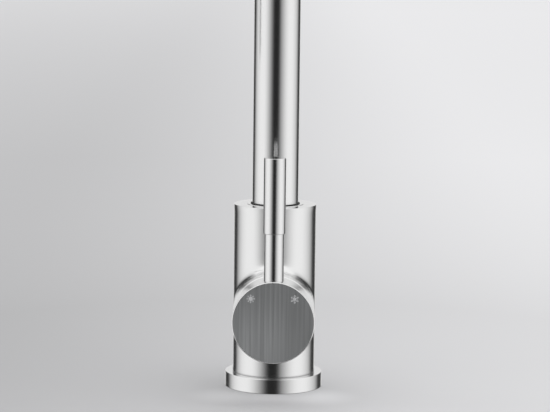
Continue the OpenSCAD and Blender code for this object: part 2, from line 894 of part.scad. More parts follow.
module upper_hose_fitting() {
    top = min(fit_collar_top, hose_head_z - run_gap);
    color(brass) on_leg() difference() {
        union() {
            translate([0, 0, top - fit_collar_h]) cylinder(r = fit_collar_r, h = fit_collar_h);
            translate([0, 0, spigot_end]) cylinder(r = spigot_r, h = top - spigot_end);
            translate([0, 0, top - cut]) cylinder(r = hose_in_r - run_gap, h = barb_len + cut);
        }
        translate([0, 0, spigot_end - cut])
            cylinder(r = fitting_bore_r, h = leg_drop + insert_h + barb_len);
        seal_ring(spigot_r - fitting_seal_r + run_gap / 2, fitting_seal_r, fitting_seal_z);
    }
}

module fitting_seal() {
    groove_r = spigot_r - fitting_seal_r + run_gap / 2;
    color(rubber) on_leg() seal_ring(groove_r, fitting_seal_r, fitting_seal_z);
}

// Outline of the button along the spray head's front, grown by a margin
module button_outline(margin) {
    round_r = button_w / 2 + margin;
    reach = (button_h - button_w) / 2;
    for (side = [-1, 1]) translate([0, side * reach]) circle(r = round_r);
    translate([-round_r, -reach]) square([2 * round_r, 2 * reach]);
}

// Pushes the button's outline through the head from one depth to another, measured from its axis
module button_block(margin, from, to) {
    translate([0, -from, button_z]) rotate([90, 0, 0]) linear_extrude(to - from)
        button_outline(margin);
}

module head_shell() {
    color(steel) on_leg() difference() {
        rotate_extrude() polygon([
            [0, head_bottom], [head_r - edge_break, head_bottom], [head_r, head_bottom + edge_break],
            [head_r, head_top - head_taper], [taper_top_r, head_top], [0, head_top]
        ]);
        rotate_extrude() polygon([
            [0, head_bottom - cut], [head_in_r, head_bottom - cut], [head_in_r, head_top - head_taper - cap_t],
            [taper_top_r - head_wall, head_top - cap_t], [0, head_top - cap_t]
        ]);
        translate([0, 0, head_top - 2 * cap_t]) cylinder(r = catch_r, h = 3 * cap_t);
        button_block(free_gap, button_back, head_r + cut);
    }
}

module catch_ring() {
    color(dark_steel) on_leg() ring(catch_r, neck_out_r, cap_t, head_top - cap_t);
}

// Solid of the head's inner core before its bores
module core_blank() {
    shoulder = head_top - head_taper - cap_t;
    rotate_extrude() polygon([
        [0, core_end], [core_r, core_end], [core_r, shoulder - core_step],
        [taper_top_r - head_wall - core_step, head_top - cap_t - core_step],
        [neck_out_r, head_top - cap_t - core_step], [neck_out_r, neck_top], [0, neck_top]
    ]);
}

module spray_core() {
    color(plastic) on_leg() difference() {
        core_blank();
        translate([0, 0, neck_floor]) cylinder(r = neck_in_r, h = neck_top);
        translate([0, 0, cage_top - cage_len]) cylinder(r = inlet_r, h = neck_top);
        translate([0, 0, button_z]) cylinder(r = core_way_r, h = cage_top - button_z);
        translate([0, spool_bore_end, button_z]) rotate([90, 0, 0])
            cylinder(r = spool_bore_r, h = core_r + spool_bore_end);
        translate([0, -spring_pocket, button_z]) rotate([90, 0, 0])
            cylinder(r = spring_pocket_r, h = core_r);
        button_block(2 * free_gap, button_pocket, head_r + cut);
        translate([0, -way_drop_y / 2, core_end]) cylinder(r = way_r, h = button_z - core_end);
        translate([0, 0, core_end - cut]) cylinder(r = aerator_r, h = aerator_len + 2 * cut);
        translate([0, (chamber_in_r + chamber_out_r) / 2, core_end])
            cylinder(r = way_r / 2, h = button_z - core_end);
        translate([0, spool_bore_end - way_r, button_z]) rotate([-90, 0, 0])
            cylinder(r = way_r / 2, h = chamber_out_r - spool_bore_end);
        translate([0, 0, core_end - cut]) ring(chamber_out_r, chamber_in_r, chamber_h + cut);
    }
}

module swivel_nut() {
    color(brass) on_leg() difference() {
        translate([0, 0, neck_floor]) cylinder(r = neck_in_r, h = neck_top - neck_floor);
        translate([0, 0, neck_floor - cut])
            cylinder(r = neck_in_r - nut_wall, h = neck_top - nut_top_lip - neck_floor + cut);
        translate([0, 0, neck_floor]) cylinder(r = nut_lip_r, h = neck_top);
    }
}

module check_valve_cage() {
    color(white_plastic) on_leg(cage_top - cage_len) difference() {
        cylinder(r = inlet_r, h = cage_len);
        translate([0, 0, cage_floor]) cylinder(r = cage_r, h = cage_len - cage_floor - cage_seat_t);
        translate([0, 0, cage_len / 2]) cylinder(r = cage_seat_r, h = cage_len);
        translate([0, 0, -cut]) cylinder(r = poppet_stem_r + run_gap, h = cage_floor + 2 * cut);
        for (i = [0 : 3]) rotate([0, 0, 90 * i]) translate([cage_hole_ring, 0, -cut])
            cylinder(r = cage_hole_r, h = cage_floor + 2 * cut);
    }
}

module check_poppet() {
    top = cage_top - cage_seat_t - run_gap;
    color(plastic) on_leg() {
        translate([0, 0, top - poppet_t]) cylinder(r = poppet_r, h = poppet_t);
        translate([0, 0, cage_top - cage_len])
            cylinder(r = poppet_stem_r, h = top - cage_top + cage_len - poppet_t / 2);
    }
}

module check_spring() {
    foot = cage_top - cage_len + cage_floor + check_spring_wire / 2 + run_gap;
    head = cage_top - cage_seat_t - run_gap - poppet_t - check_spring_wire / 2 - run_gap;
    color(steel) on_leg(foot) coil_spring(check_spring_r, check_spring_wire, head - foot, spring_turns);
}

// Places of the spray nozzles round the aerator
module at_nozzles() {
    for (i = [0 : inner_nozzles - 1]) rotate([0, 0, 360 * i / inner_nozzles])
        translate([inner_ring_r, 0, 0]) children();
    for (i = [0 : outer_nozzles - 1]) rotate([0, 0, 360 * (i + 0.5) / outer_nozzles])
        translate([outer_ring_r, 0, 0]) children();
}

module spray_plate() {
    color(plastic) on_leg(plate_z) difference() {
        cylinder(r = head_in_r, h = plate_t);
        translate([0, 0, -cut]) cylinder(r = aerator_r, h = plate_t + 2 * cut);
        translate([0, 0, -cut]) at_nozzles()
            cylinder(r = nozzle_r + mat_gap, h = plate_t + 2 * cut, $fn = 24);
    }
}

module nozzle_mat() {
    top = plate_z + plate_t;
    color(rubber) on_leg() {
        ring(head_in_r - free_gap, aerator_r, mat_t, top);
        translate([0, 0, plate_z - nozzle_proud]) at_nozzles()
            cylinder(r = nozzle_r, h = plate_t + nozzle_proud + mat_t / 2, $fn = 24);
    }
}

module aerator_housing() {
    color(white_plastic) on_leg(plate_z + aerator_recess)
        ring(aerator_r, aerator_r - aerator_wall, aerator_len);
}

module aerator_screen() {
    reach = floor((aerator_r - aerator_wall) / screen_pitch);
    color(white_plastic) on_leg(plate_z + 2 * aerator_recess) difference() {
        cylinder(r = aerator_r - aerator_wall, h = screen_t);
        for (i = [-reach : reach], j = [-reach : reach])
            if (norm([i, j]) * screen_pitch < aerator_r - aerator_wall - screen_hole)
                translate([i * screen_pitch - screen_hole / 2, j * screen_pitch - screen_hole / 2, -cut])
                    cube([screen_hole, screen_hole, screen_t + 2 * cut]);
    }
}

module mode_button() {
    color(rubber) on_leg() intersection() {
        button_block(0, button_back, 2 * head_r);
        translate([0, 0, head_bottom]) cylinder(r = head_r + button_proud, h = head_len);
    }
}

module diverter_spool() {
    front = button_back + cut;
    color(white_plastic) on_leg(button_z) rotate([-90, 0, 0]) difference() {
        union() {
            translate([0, 0, -button_back]) cylinder(r = spool_waist_r, h = spool_end + button_back);
            for (y = spool_land_shares * spool_end) translate([0, 0, y - land_half])
                cylinder(r = spool_r, h = 2 * land_half);
        }
        for (y = spool_land_shares * spool_end)
            ring(spool_r + cut, spool_waist_r, 2 * groove_half, y - groove_half);
    }
}

module spool_seals() {
    color(rubber) on_leg(button_z) rotate([-90, 0, 0])
        for (y = spool_land_shares * spool_end) seal_ring(spool_waist_r + spool_seal_r, spool_seal_r, y);
}

module button_spring() {
    half = spring_wire / 2 + run_gap;
    color(steel) on_leg(button_z) translate([0, -button_back + half, 0]) rotate([-90, 0, 0])
        coil_spring(spring_r, spring_wire, button_back - spring_pocket - 2 * half, spring_turns);
}

base_flange();
base_seal();
body_shell();
valve_block();
threaded_shank();
rubber_washer();
steel_washer();
mounting_nut();
jack_screws();
cartridge_base();
cartridge_seals();
cartridge_housing();
fixed_ceramic_disc();
retaining_nut();
bonnet();
spout_socket();
wiper_seal();
collar_ring();
lower_ferrule();
hose_tail_fitting();
spout_tube();
spout_sleeve();
glide_ring_lower();
glide_ring_upper();
swivel_seal();
retaining_clip();
nose_insert();
dock_magnet();
pull_hose();
upper_ferrule();
upper_hose_fitting();
fitting_seal();
head_shell();
spray_core();
catch_ring();
swivel_nut();
check_valve_cage();
check_spring();
spray_plate();
nozzle_mat();
aerator_housing();
aerator_screen();
button_spring();
mode_button();
diverter_spool();
spool_seals();
check_poppet();
spindle_collar();
pivot_pin();
moving_ceramic_disc();
disc_carrier();
stem();
handle_hub();
hub_face();
lever_neck();
lever_grip();
hub_screw();
screw_plug();
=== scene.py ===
import math

import bmesh
import bpy
from mathutils import Matrix, Vector


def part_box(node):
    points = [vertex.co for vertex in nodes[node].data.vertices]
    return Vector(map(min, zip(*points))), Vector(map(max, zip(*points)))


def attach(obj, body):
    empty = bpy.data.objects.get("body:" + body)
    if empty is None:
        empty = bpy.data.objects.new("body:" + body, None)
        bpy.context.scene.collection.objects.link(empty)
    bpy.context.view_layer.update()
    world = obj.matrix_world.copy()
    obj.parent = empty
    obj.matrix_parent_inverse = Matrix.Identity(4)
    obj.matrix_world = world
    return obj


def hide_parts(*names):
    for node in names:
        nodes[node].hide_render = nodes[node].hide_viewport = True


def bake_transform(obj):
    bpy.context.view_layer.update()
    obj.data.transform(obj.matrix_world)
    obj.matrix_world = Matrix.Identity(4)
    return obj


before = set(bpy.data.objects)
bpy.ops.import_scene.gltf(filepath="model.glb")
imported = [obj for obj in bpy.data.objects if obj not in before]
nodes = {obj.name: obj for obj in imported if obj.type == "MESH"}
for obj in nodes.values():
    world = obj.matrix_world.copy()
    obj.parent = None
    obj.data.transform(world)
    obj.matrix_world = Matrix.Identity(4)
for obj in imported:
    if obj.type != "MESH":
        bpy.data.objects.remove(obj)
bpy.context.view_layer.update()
MM = 0.001


# The camera stands in front of the lever, a little above the tap's foot, and leans over slightly
# as the one in the photograph does. It is a long lens, so the sides of the tap stay parallel.
def new_piece(name, data):
    """Puts a mesh, a lamp or a camera into the scene."""
    piece = bpy.data.objects.new(name, data)
    bpy.context.scene.collection.objects.link(piece)
    return piece


view_lens = 152.39
film_width = 36
view_place = Vector((1.4000, 0.0095, 0.2968))
view_down = math.radians(7.591)
view_aside = math.radians(-0.395)
view_lean = math.radians(0.661)
forward = Vector((-math.cos(view_down) * math.cos(view_aside),
                  math.cos(view_down) * math.sin(view_aside), -math.sin(view_down)))
right = forward.cross(Vector((0, 0, 1))).normalized()
up = right.cross(forward)
leant_right = right * math.cos(view_lean) + up * math.sin(view_lean)
leant_up = leant_right.cross(forward)
camera_data = bpy.data.cameras.new("camera")
camera_data.lens = view_lens
camera_data.sensor_width = film_width
camera = new_piece("camera", camera_data)
camera.matrix_world = Matrix((leant_right, leant_up, -forward)).transposed().to_4x4()
camera.location = view_place
bpy.context.scene.camera = camera
bpy.context.scene.view_settings.view_transform = "Standard"


# The studio is one pale sweep of light round the tap: two wide soft boxes, one on each side, a
# bright ceiling, a darker ground, and dark gaps straight ahead and behind each box that draw the
# metal's lines.
def add(net, kind, sockets=None, **settings):
    """New node. Its sockets take values or the outputs of other nodes, and its settings values."""
    node = net.nodes.new(kind)
    for name, value in settings.items():
        setattr(node, name, value)
    for socket, value in (sockets or {}).items():
        if isinstance(value, bpy.types.NodeSocket):
            net.links.new(value, node.inputs[socket])
        else:
            node.inputs[socket].default_value = value
    return node


def maths(net, operation, *values):
    """Result of one sum on numbers and the outputs of other nodes."""
    return add(net, "ShaderNodeMath", dict(enumerate(values)), operation=operation).outputs[0]


def ease(net, value, start, end, first=0, last=1):
    """Goes smoothly from first to last while a value goes from start to end."""
    limits = {"Value": value, "From Min": start, "From Max": end, "To Min": first, "To Max": last}
    return add(net, "ShaderNodeMapRange", limits, interpolation_type="SMOOTHSTEP").outputs[0]


def mix(net, factor, first, second):
    """Colour between two others."""
    shades = {"Factor": factor, "A": first, "B": second}
    return add(net, "ShaderNodeMix", shades, data_type="RGBA").outputs["Result"]


box_light = [(-180, 0.82), (-163, 0.78), (-152, 0.06), (-134, 0.03), (-124, 0.40), (-113, 0.72),
             (-100, 0.92), (-85, 1.02), (-62, 1.02), (-50, 0.86), (-38, 0.58), (-27, 0.30),
             (-19, 0.10), (-13, 0.02), (8, 0.02), (15, 0.14), (20, 0.33), (30, 0.54),
             (42, 0.80), (55, 0.98), (66, 1.04), (84, 1.02), (98, 0.88), (112, 0.68),
             (122, 0.42), (132, 0.06), (152, 0.03), (163, 0.78), (180, 0.82)]
ceiling_from, ceiling_to = 0.30, 0.62
ceiling_light = (1.08, 1.08, 1.08, 1)
ground_from, ground_to = -0.35, -0.65
ground_light = (0.16, 0.16, 0.16, 1)
backdrop = (0.80, 0.80, 0.81, 1)
sky = bpy.data.worlds.new("studio")
sky.use_nodes = True
bpy.context.scene.world = sky
air = sky.node_tree
air.nodes.clear()
sight = add(air, "ShaderNodeTexCoord").outputs["Generated"]
split = add(air, "ShaderNodeSeparateXYZ", {0: sight})
bearing = maths(air, "ARCTAN2", split.outputs["Y"], split.outputs["X"])
share_round = maths(air, "MULTIPLY_ADD", bearing, 0.5 / math.pi, 0.5)
boxes = add(air, "ShaderNodeValToRGB", {0: share_round})
stops = boxes.color_ramp.elements
while len(stops) > 1:
    stops.remove(stops[-1])
for i, (angle, light) in enumerate(box_light):
    position = 0.5 + angle / 360
    stop = stops[0] if i == 0 else stops.new(position)
    stop.position = position
    stop.color = (light, light, light, 1)
lift = ease(air, split.outputs["Z"], ceiling_from, ceiling_to)
under_ceiling = mix(air, lift, boxes.outputs[0], ceiling_light)
drop = ease(air, split.outputs["Z"], ground_from, ground_to)
all_round = mix(air, drop, under_ceiling, ground_light)
rays = add(air, "ShaderNodeLightPath")
seen = mix(air, rays.outputs["Is Camera Ray"], all_round, backdrop)
glow = add(air, "ShaderNodeBackground", {"Color": seen})
add(air, "ShaderNodeOutputWorld", {"Surface": glow.outputs[0]})

# A broad soft lamp hangs over the tap, and lays its soft shadow on the floor. The metal doesn't
# mirror it, because the studio's own light draws all of the bands on the steel.
lamp_data = bpy.data.lights.new("overhead", "AREA")
lamp_data.shape = "DISK"
lamp_data.size = 1.2
lamp_data.energy = 6
lamp_aim = Vector((0, 0, 0.1))
lamp = new_piece("overhead", lamp_data)
lamp.location = (0.3, 0.2, 1.8)
lamp.rotation_euler = (lamp_aim - lamp.location).to_track_quat("-Z", "Y").to_euler()
lamp.visible_glossy = False


# The floor is a wide pale sheet with painted light in its colour: it is painted a shade darker near
# the tap and on its left, and paler far off and on its right, as the light falls off. A painted pool of
# paler floor under the lever lifts the tap's own shadow there, so it stays faint. A view
# from below sees through it to the shank and the nut.
def circle(name, sides, radius, fill="NOTHING"):
    """New circle about the upright axis, with its radius in millimetres."""
    bpy.ops.object.select_all(action="DESELECT")
    bpy.ops.mesh.primitive_circle_add(vertices=sides, radius=radius * MM, fill_type=fill)
    piece = bpy.context.object
    piece.name = name
    return piece


floor_reach = 60000
# The floor's painted tones run from near to far over the power of ten of the distance in metres.
near_decade, far_decade = -1.0, 1.2
near_tone = (0.56, 0.56, 0.57, 1)
far_tone = (0.81, 0.81, 0.82, 1)
tones_between = ((0.217, 0.542), (0.427, 0.625), (0.761, 0.77))
bluish = 1.015
side_reach = 0.28
side_change = 0.2
side_fades_from = 0.5
painted_pool_x = 0.035
painted_pool_reach = 0.034
painted_pool_across = 0.6
painted_pool_gain = 1.62
floor = circle("floor", 128, floor_reach, "NGON")
floor.visible_glossy = False
floor_paint = bpy.data.materials.new("pale_floor")
floor_paint.use_nodes = True
net = floor_paint.node_tree
net.nodes.clear()
place = add(net, "ShaderNodeTexCoord").outputs["Object"]
reach = add(net, "ShaderNodeVectorMath", {0: place}, operation="LENGTH").outputs["Value"]
decade = maths(net, "LOGARITHM", reach, 10)
spread = add(net, "ShaderNodeMapRange", {"Value": decade, "From Min": near_decade,
                                         "From Max": far_decade}).outputs[0]
tone = add(net, "ShaderNodeValToRGB", {0: spread})
tones = tone.color_ramp.elements
tones[0].color = near_tone
tones[1].color = far_tone
for position, light in tones_between:
    tones.new(position).color = (light, light, light * bluish, 1)
spot = add(net, "ShaderNodeSeparateXYZ", {0: place})
# Painted light: the floor is painted darker on its left and lighter on its right, fading out far off.
across = ease(net, spot.outputs["Y"], -side_reach, side_reach, -side_change, side_change)
fade = add(net, "ShaderNodeMapRange", {"Value": spread, "From Min": side_fades_from,
                                       "To Min": 1, "To Max": 0})
side_light = maths(net, "MULTIPLY_ADD", across, fade.outputs[0], 1)
# Painted light: a pool of paler floor under the lever, which lifts the tap's own shadow there.
under_lever = add(net, "ShaderNodeMapping", {"Vector": place, "Location": (-painted_pool_x, 0, 0),
                                             "Scale": (1, painted_pool_across, 1)}).outputs[0]
off_lever = add(net, "ShaderNodeVectorMath", {0: under_lever}, operation="LENGTH").outputs["Value"]
painted_pool = ease(net, off_lever, 0, painted_pool_reach, painted_pool_gain, 1)
floor_light = maths(net, "MULTIPLY", side_light, painted_pool)
shaded = add(net, "ShaderNodeVectorMath", {0: tone.outputs[0], "Scale": floor_light},
             operation="SCALE").outputs["Vector"]
matt = add(net, "ShaderNodeBsdfDiffuse", {"Color": shaded})
clear = add(net, "ShaderNodeBsdfTransparent")
under = add(net, "ShaderNodeNewGeometry").outputs["Backfacing"]
either = add(net, "ShaderNodeMixShader", {0: under, 1: matt.outputs[0], 2: clear.outputs[0]})
add(net, "ShaderNodeOutputMaterial", {"Surface": either.outputs[0]})
floor.data.materials.append(floor_paint)


# The foot is a turned steel disc with a spigot that centres the body. It is turned from bar and
# brushed round its axis, and the fine lines of the brushing show in the light.
def new_paint(name, metal=0):
    """New material, with its net of nodes and its shader."""
    paint = bpy.data.materials.new(name)
    paint.use_nodes = True
    shader = paint.node_tree.nodes["Principled BSDF"]
    shader.inputs["Metallic"].default_value = metal
    return paint, paint.node_tree, shader


def grained(net, shader, grain, color, shades, dullness, depth, height):
    """A grain sets the paint's shade between two shares of its colour, its dullness and its relief."""
    darker, lighter = ([c * share for c in color] + [1] for share in shades)
    net.links.new(mix(net, grain, darker, lighter), shader.inputs["Base Color"])
    haze = add(net, "ShaderNodeMapRange", {"Value": grain, "To Min": dullness[0], "To Max": dullness[1]})
    net.links.new(haze.outputs[0], shader.inputs["Roughness"])
    relief = add(net, "ShaderNodeBump", {"Strength": depth, "Distance": height * MM, "Height": grain})
    net.links.new(relief.outputs[0], shader.inputs["Normal"])


def brushed_steel(name, lines, color=(0.80, 0.80, 0.80), dullness=0.16, depth=0.01, streak=0.025,
                  layer=None):
    """Steel with fine lines, laid out in space or along a layer that its piece carries."""
    paint, net, shader = new_paint(name, 1)
    if layer:
        place = add(net, "ShaderNodeAttribute", attribute_name=layer).outputs["Vector"]
    else:
        place = add(net, "ShaderNodeTexCoord").outputs["Object"]
    comb = add(net, "ShaderNodeMapping", {"Vector": place, "Scale": lines}).outputs[0]
    grain = add(net, "ShaderNodeTexNoise", {"Vector": comb, "Scale": 1, "Detail": 3}).outputs["Fac"]
    shades = (1 - streak, 1 + streak)
    grained(net, shader, grain, color, shades, (dullness - 0.03, dullness + 0.05), depth, 0.02)
    return paint


def pick(*pieces):
    """Selects these pieces alone, with the first one active."""
    bpy.ops.object.select_all(action="DESELECT")
    for piece in pieces:
        piece.select_set(True)
    bpy.context.view_layer.objects.active = pieces[0]


def work(piece, kind, **settings):
    """Gives a piece a modifier with these settings, and applies it."""
    pick(piece)
    step = piece.modifiers.new("step", kind)
    for name, value in settings.items():
        setattr(step, name, value)
    bpy.ops.object.modifier_apply(modifier="step")


def edit_all():
    """Edit mode on the active piece, with all of it selected."""
    bpy.ops.object.mode_set(mode="EDIT")
    bpy.ops.mesh.select_all(action="SELECT")


def edit_done(merge=0):
    """Merges doubles nearer than a distance, turns the faces outwards and ends edit mode."""
    bpy.ops.mesh.select_all(action="SELECT")
    if merge:
        bpy.ops.mesh.remove_doubles(threshold=merge * MM)
    bpy.ops.mesh.normals_make_consistent(inside=False)
    bpy.ops.object.mode_set(mode="OBJECT")


def raise_up(height):
    """Extrudes what is selected straight up, or down for a height below nought."""
    bpy.ops.mesh.extrude_region_move(TRANSFORM_OT_translate={"value": (0, 0, height * MM)})


def turn(name, outline, steps=128, ring=True):
    """Turns an outline of (radius, height) points about the upright axis, as a closed ring or open."""
    radius, height = outline[0]
    piece = circle(name, steps, radius)
    edit_all()
    bpy.ops.transform.translate(value=(0, 0, height * MM))
    for next_radius, next_height in outline[1:] + (outline[:1] if ring else []):
        raise_up(next_height - height)
        grow = next_radius / radius
        bpy.ops.transform.resize(value=(grow, grow, 1), center_override=(0, 0, next_height * MM))
        radius, height = next_radius, next_height
    edit_done(merge=0.001)
    return piece


def settle(piece, place=(0, 0, 0), turned=(0, 0, 0)):
    """Sets a piece down at its place in millimetres, with its place in its mesh."""
    pick(piece)
    piece.rotation_euler = turned
    piece.location = Vector(place) * MM
    bpy.ops.object.transform_apply(location=True, rotation=True, scale=True)
    return piece


def finish(piece, paint, angle=30):
    """Shades a piece smooth but for its sharp edges, and gives it its paint."""
    pick(piece)
    bpy.ops.object.shade_smooth_by_angle(angle=math.radians(angle))
    work(piece, "WEIGHTED_NORMAL", keep_sharp=True)
    piece.data.materials.clear()
    piece.data.materials.append(paint)


def soft_edge(outline, corner, radius, arcs=3):
    """The outline with one of its corners rounded by a small arc."""
    before, here, after = (Vector(outline[i % len(outline)]) for i in (corner - 1, corner, corner + 1))
    way_in = (here - before).normalized()
    way_out = (after - here).normalized()
    arc = []
    for i in range(arcs + 1):
        swing = math.radians(90 * (i / arcs))
        arc.append(tuple(here - way_in * radius * (1 - math.sin(swing))
                         + way_out * radius * (1 - math.cos(swing))))
    return outline[:corner] + arc + outline[corner + 1:]


lines_round = (60, 60, 4000)
flange_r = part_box("base_flange")[1].x / MM
flange_h = 9
spigot_r = 21.5
spigot_top = 14
foot_bore_r = 16.5
foot_hollow = 0.4
rim_r = 28.6
rim_z = 0.05
seal_in_r = 22
seal_out_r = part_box("base_seal")[1].x / MM
seal_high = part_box("base_seal")[1].z / MM
foot_outline = [(foot_bore_r, foot_hollow), (seal_in_r, foot_hollow), (seal_in_r, seal_high),
                (seal_out_r, seal_high), (seal_out_r, foot_hollow), (rim_r, foot_hollow), (rim_r, rim_z),
                (flange_r, rim_z), (flange_r, flange_h), (spigot_r, flange_h), (spigot_r, spigot_top),
                (foot_bore_r, spigot_top)]
top_corner, top_rounding = 8, 0.5
low_corner, low_rounding = 7, 0.25
foot_outline = soft_edge(foot_outline, top_corner, top_rounding)
foot = turn("foot", soft_edge(foot_outline, low_corner, low_rounding))
steel_round_z = brushed_steel("steel_brushed_round", lines_round)
finish(foot, steel_round_z)
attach(foot, "root")
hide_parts("base_flange")


# The body is one casting: an upright barrel, a branch for the cartridge, and a small fillet
# where the two meet. It is brushed round the barrel, hollow inside, and open at both ends.
barrel_r = 25
barrel_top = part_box("body_shell")[1].z / MM
branch_r = 24.3
branch_z = 50
branch_end = 42
fillet = 6
barrel_bore_r = 21.5
branch_bore_r = 21
mouth_r = 17.2
lip_z = barrel_top - 4
edge = 0.5
across_steps = 96
upright_steps = 48
fillet_steps = 8
patch_steps = 10
branch_steps = 4


def band(mesh, lower, upper):
    """Faces between two rings of the same count."""
    for i in range(len(lower)):
        j = (i + 1) % len(lower)
        mesh.faces.new((lower[i], lower[j], upper[j], upper[i]))


def barrel_with_branch(barrel, branch, ball, low, high, reach, mesh):
    """Skin of a barrel and its branch, with a fillet of a rolling ball. Returns the branch's end ring."""
    half = math.pi / 2
    heights = [low + (high - low) * i / upright_steps for i in range(upright_steps + 1)]
    angles = [-half + math.pi * i / across_steps for i in range(across_steps + 1)]
    border = [(angle, high) for angle in angles]
    border += [(half, z) for z in reversed(heights[:-1])]
    border += [(angle, low) for angle in reversed(angles[:-1])]
    border += [(-half, z) for z in heights[1:-1]]

    def on_barrel(angle, z):
        return mesh.verts.new((barrel * math.cos(angle) * MM, barrel * math.sin(angle) * MM, z * MM))

    def on_fillet(root, centre, crown, t):
        spoke = (root - centre).normalized().slerp((crown - centre).normalized(), t)
        return mesh.verts.new((centre + spoke * ball) * MM)

    rings = [[on_barrel(angle, z) for angle, z in border]]
    spokes = []
    for angle, z in border:
        swing = math.atan2(barrel * angle, z - branch_z)
        aside = (branch + ball) * math.sin(swing)
        rise = (branch + ball) * math.cos(swing)
        out = math.sqrt((barrel + ball) ** 2 - aside ** 2)
        centre = Vector((out, aside, branch_z + rise))
        root = Vector((out * barrel / (barrel + ball), aside * barrel / (barrel + ball), centre.z))
        crown = Vector((out, branch * math.sin(swing), branch_z + branch * math.cos(swing)))
        spokes.append((root, centre, crown))
    for i in range(1, patch_steps + 1):
        t = i / patch_steps
        rings.append([on_barrel(angle + (math.atan2(root.y, root.x) - angle) * t, z + (root.z - z) * t)
                      for (angle, z), (root, centre, crown) in zip(border, spokes)])
    if ball:
        for i in range(1, fillet_steps + 1):
            rings.append([on_fillet(*spoke, i / fillet_steps) for spoke in spokes])
    for i in range(1, branch_steps + 1):
        t = i / branch_steps
        rings.append([mesh.verts.new(((crown.x + (reach - crown.x) * t) * MM, crown.y * MM, crown.z * MM))
                      for root, centre, crown in spokes])
    for inner, outer in zip(rings, rings[1:]):
        band(mesh, inner, outer)
    back = [[on_barrel(half + math.pi * i / across_steps, z) for i in range(across_steps + 1)]
            for z in heights]
    for lower, upper in zip(back, back[1:]):
        for i in range(across_steps):
            mesh.faces.new((lower[i], lower[i + 1], upper[i + 1], upper[i]))
    return rings[-1]


def level_rings(mesh, outline):
    """Bands between level rings of the barrel's own count of points, for (radius, height) points."""
    angles = [math.pi * (i / across_steps - 0.5) for i in range(2 * across_steps)]
    rings = [[mesh.verts.new((radius * math.cos(angle) * MM, radius * math.sin(angle) * MM, z * MM))
              for angle in angles] for radius, z in outline]
    for lower, upper in zip(rings, rings[1:]):
        band(mesh, lower, upper)


def rounded(radius, z, way, cut=0.5):
    """Three points that round an outline's outer edge, from its face at z up (1) or down (-1) its side."""
    return [(radius - cut, z), (radius - 0.3 * cut, z + way * 0.3 * cut), (radius, z + way * cut)]


def mesh_piece(name, mesh):
    """Makes a piece of a mesh, with its faces outwards."""
    bmesh.ops.recalc_face_normals(mesh, faces=mesh.faces)
    data = bpy.data.meshes.new(name)
    mesh.to_mesh(data)
    mesh.free()
    return new_piece(name, data)


barrel_mesh = bmesh.new()
outer_end = barrel_with_branch(barrel_r, branch_r, fillet, flange_h + edge, barrel_top - edge,
                               branch_end - edge, barrel_mesh)
inner_end = barrel_with_branch(barrel_bore_r, branch_bore_r, 0, flange_h, lip_z, branch_end, barrel_mesh)
drawn_in = (branch_r - edge) / branch_r
front = [barrel_mesh.verts.new((branch_end * MM, v.co.y * drawn_in,
                                branch_z * MM + (v.co.z - branch_z * MM) * drawn_in)) for v in outer_end]
band(barrel_mesh, outer_end, front)
band(barrel_mesh, front, inner_end)
level_rings(barrel_mesh, rounded(barrel_r, barrel_top, -1, edge)[::-1]
            + [(mouth_r, barrel_top), (mouth_r, lip_z), (barrel_bore_r, lip_z)])
level_rings(barrel_mesh, [(barrel_bore_r, flange_h), (barrel_r - edge, flange_h),
                          (barrel_r, flange_h + edge)])
bmesh.ops.remove_doubles(barrel_mesh, verts=barrel_mesh.verts, dist=0.002 * MM)
body = mesh_piece("body", barrel_mesh)
finish(body, steel_round_z, angle=32)
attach(body, "root")
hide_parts("body_shell")


# A thin steel ring lines the hole in the body's top, and lies almost flush with it. A black rubber
# wiper inside it stands a little proud, and closes the running gap round the tube.
def levels(node):
    """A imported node's lowest and highest level in millimetres."""
    return [corner.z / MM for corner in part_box(node)]


def plain_paint(name, color, dullness, metal=0, grain=400, depth=0.05):
    """Moulded or cast finish with a fine grain in its dullness and its surface."""
    paint, net, shader = new_paint(name, metal)
    place = add(net, "ShaderNodeTexCoord").outputs["Object"]
    speckle = add(net, "ShaderNodeTexNoise", {"Vector": place, "Scale": grain, "Detail": 4}).outputs["Fac"]
    grained(net, shader, speckle, color, (0.9, 1.08), (dullness - 0.06, dullness + 0.08), depth, 0.1)
    return paint


collar_r = 15.7
collar_lip_r = 14.95
collar_step = 0.4
collar_low, collar_high = levels("collar_ring")
collar = turn("collar", [(collar_r, collar_low), (mouth_r, collar_low), (mouth_r, collar_high - 0.1),
                         (mouth_r - 0.1, collar_high), (collar_lip_r, collar_high),
                         (collar_lip_r, collar_high - collar_step), (collar_r, collar_high - collar_step)])
finish(collar, steel_round_z)
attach(collar, "root")
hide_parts("collar_ring")

rubber = plain_paint("black_rubber", (0.012, 0.012, 0.013), dullness=0.55)
wiper_r = 14.3
wiper_lip_r = collar_lip_r - 0.05
wiper_step_z = collar_high - 0.42
wiper_low, wiper_high = levels("wiper_seal")
wiper = turn("wiper", [(wiper_r, wiper_low), (collar_r, wiper_low), (collar_r, wiper_step_z),
                       (wiper_lip_r, wiper_step_z), (wiper_lip_r, wiper_high - 0.2),
                       (wiper_lip_r - 0.15, wiper_high), (wiper_r, wiper_high)])
finish(wiper, rubber)
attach(wiper, "root")
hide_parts("wiper_seal")


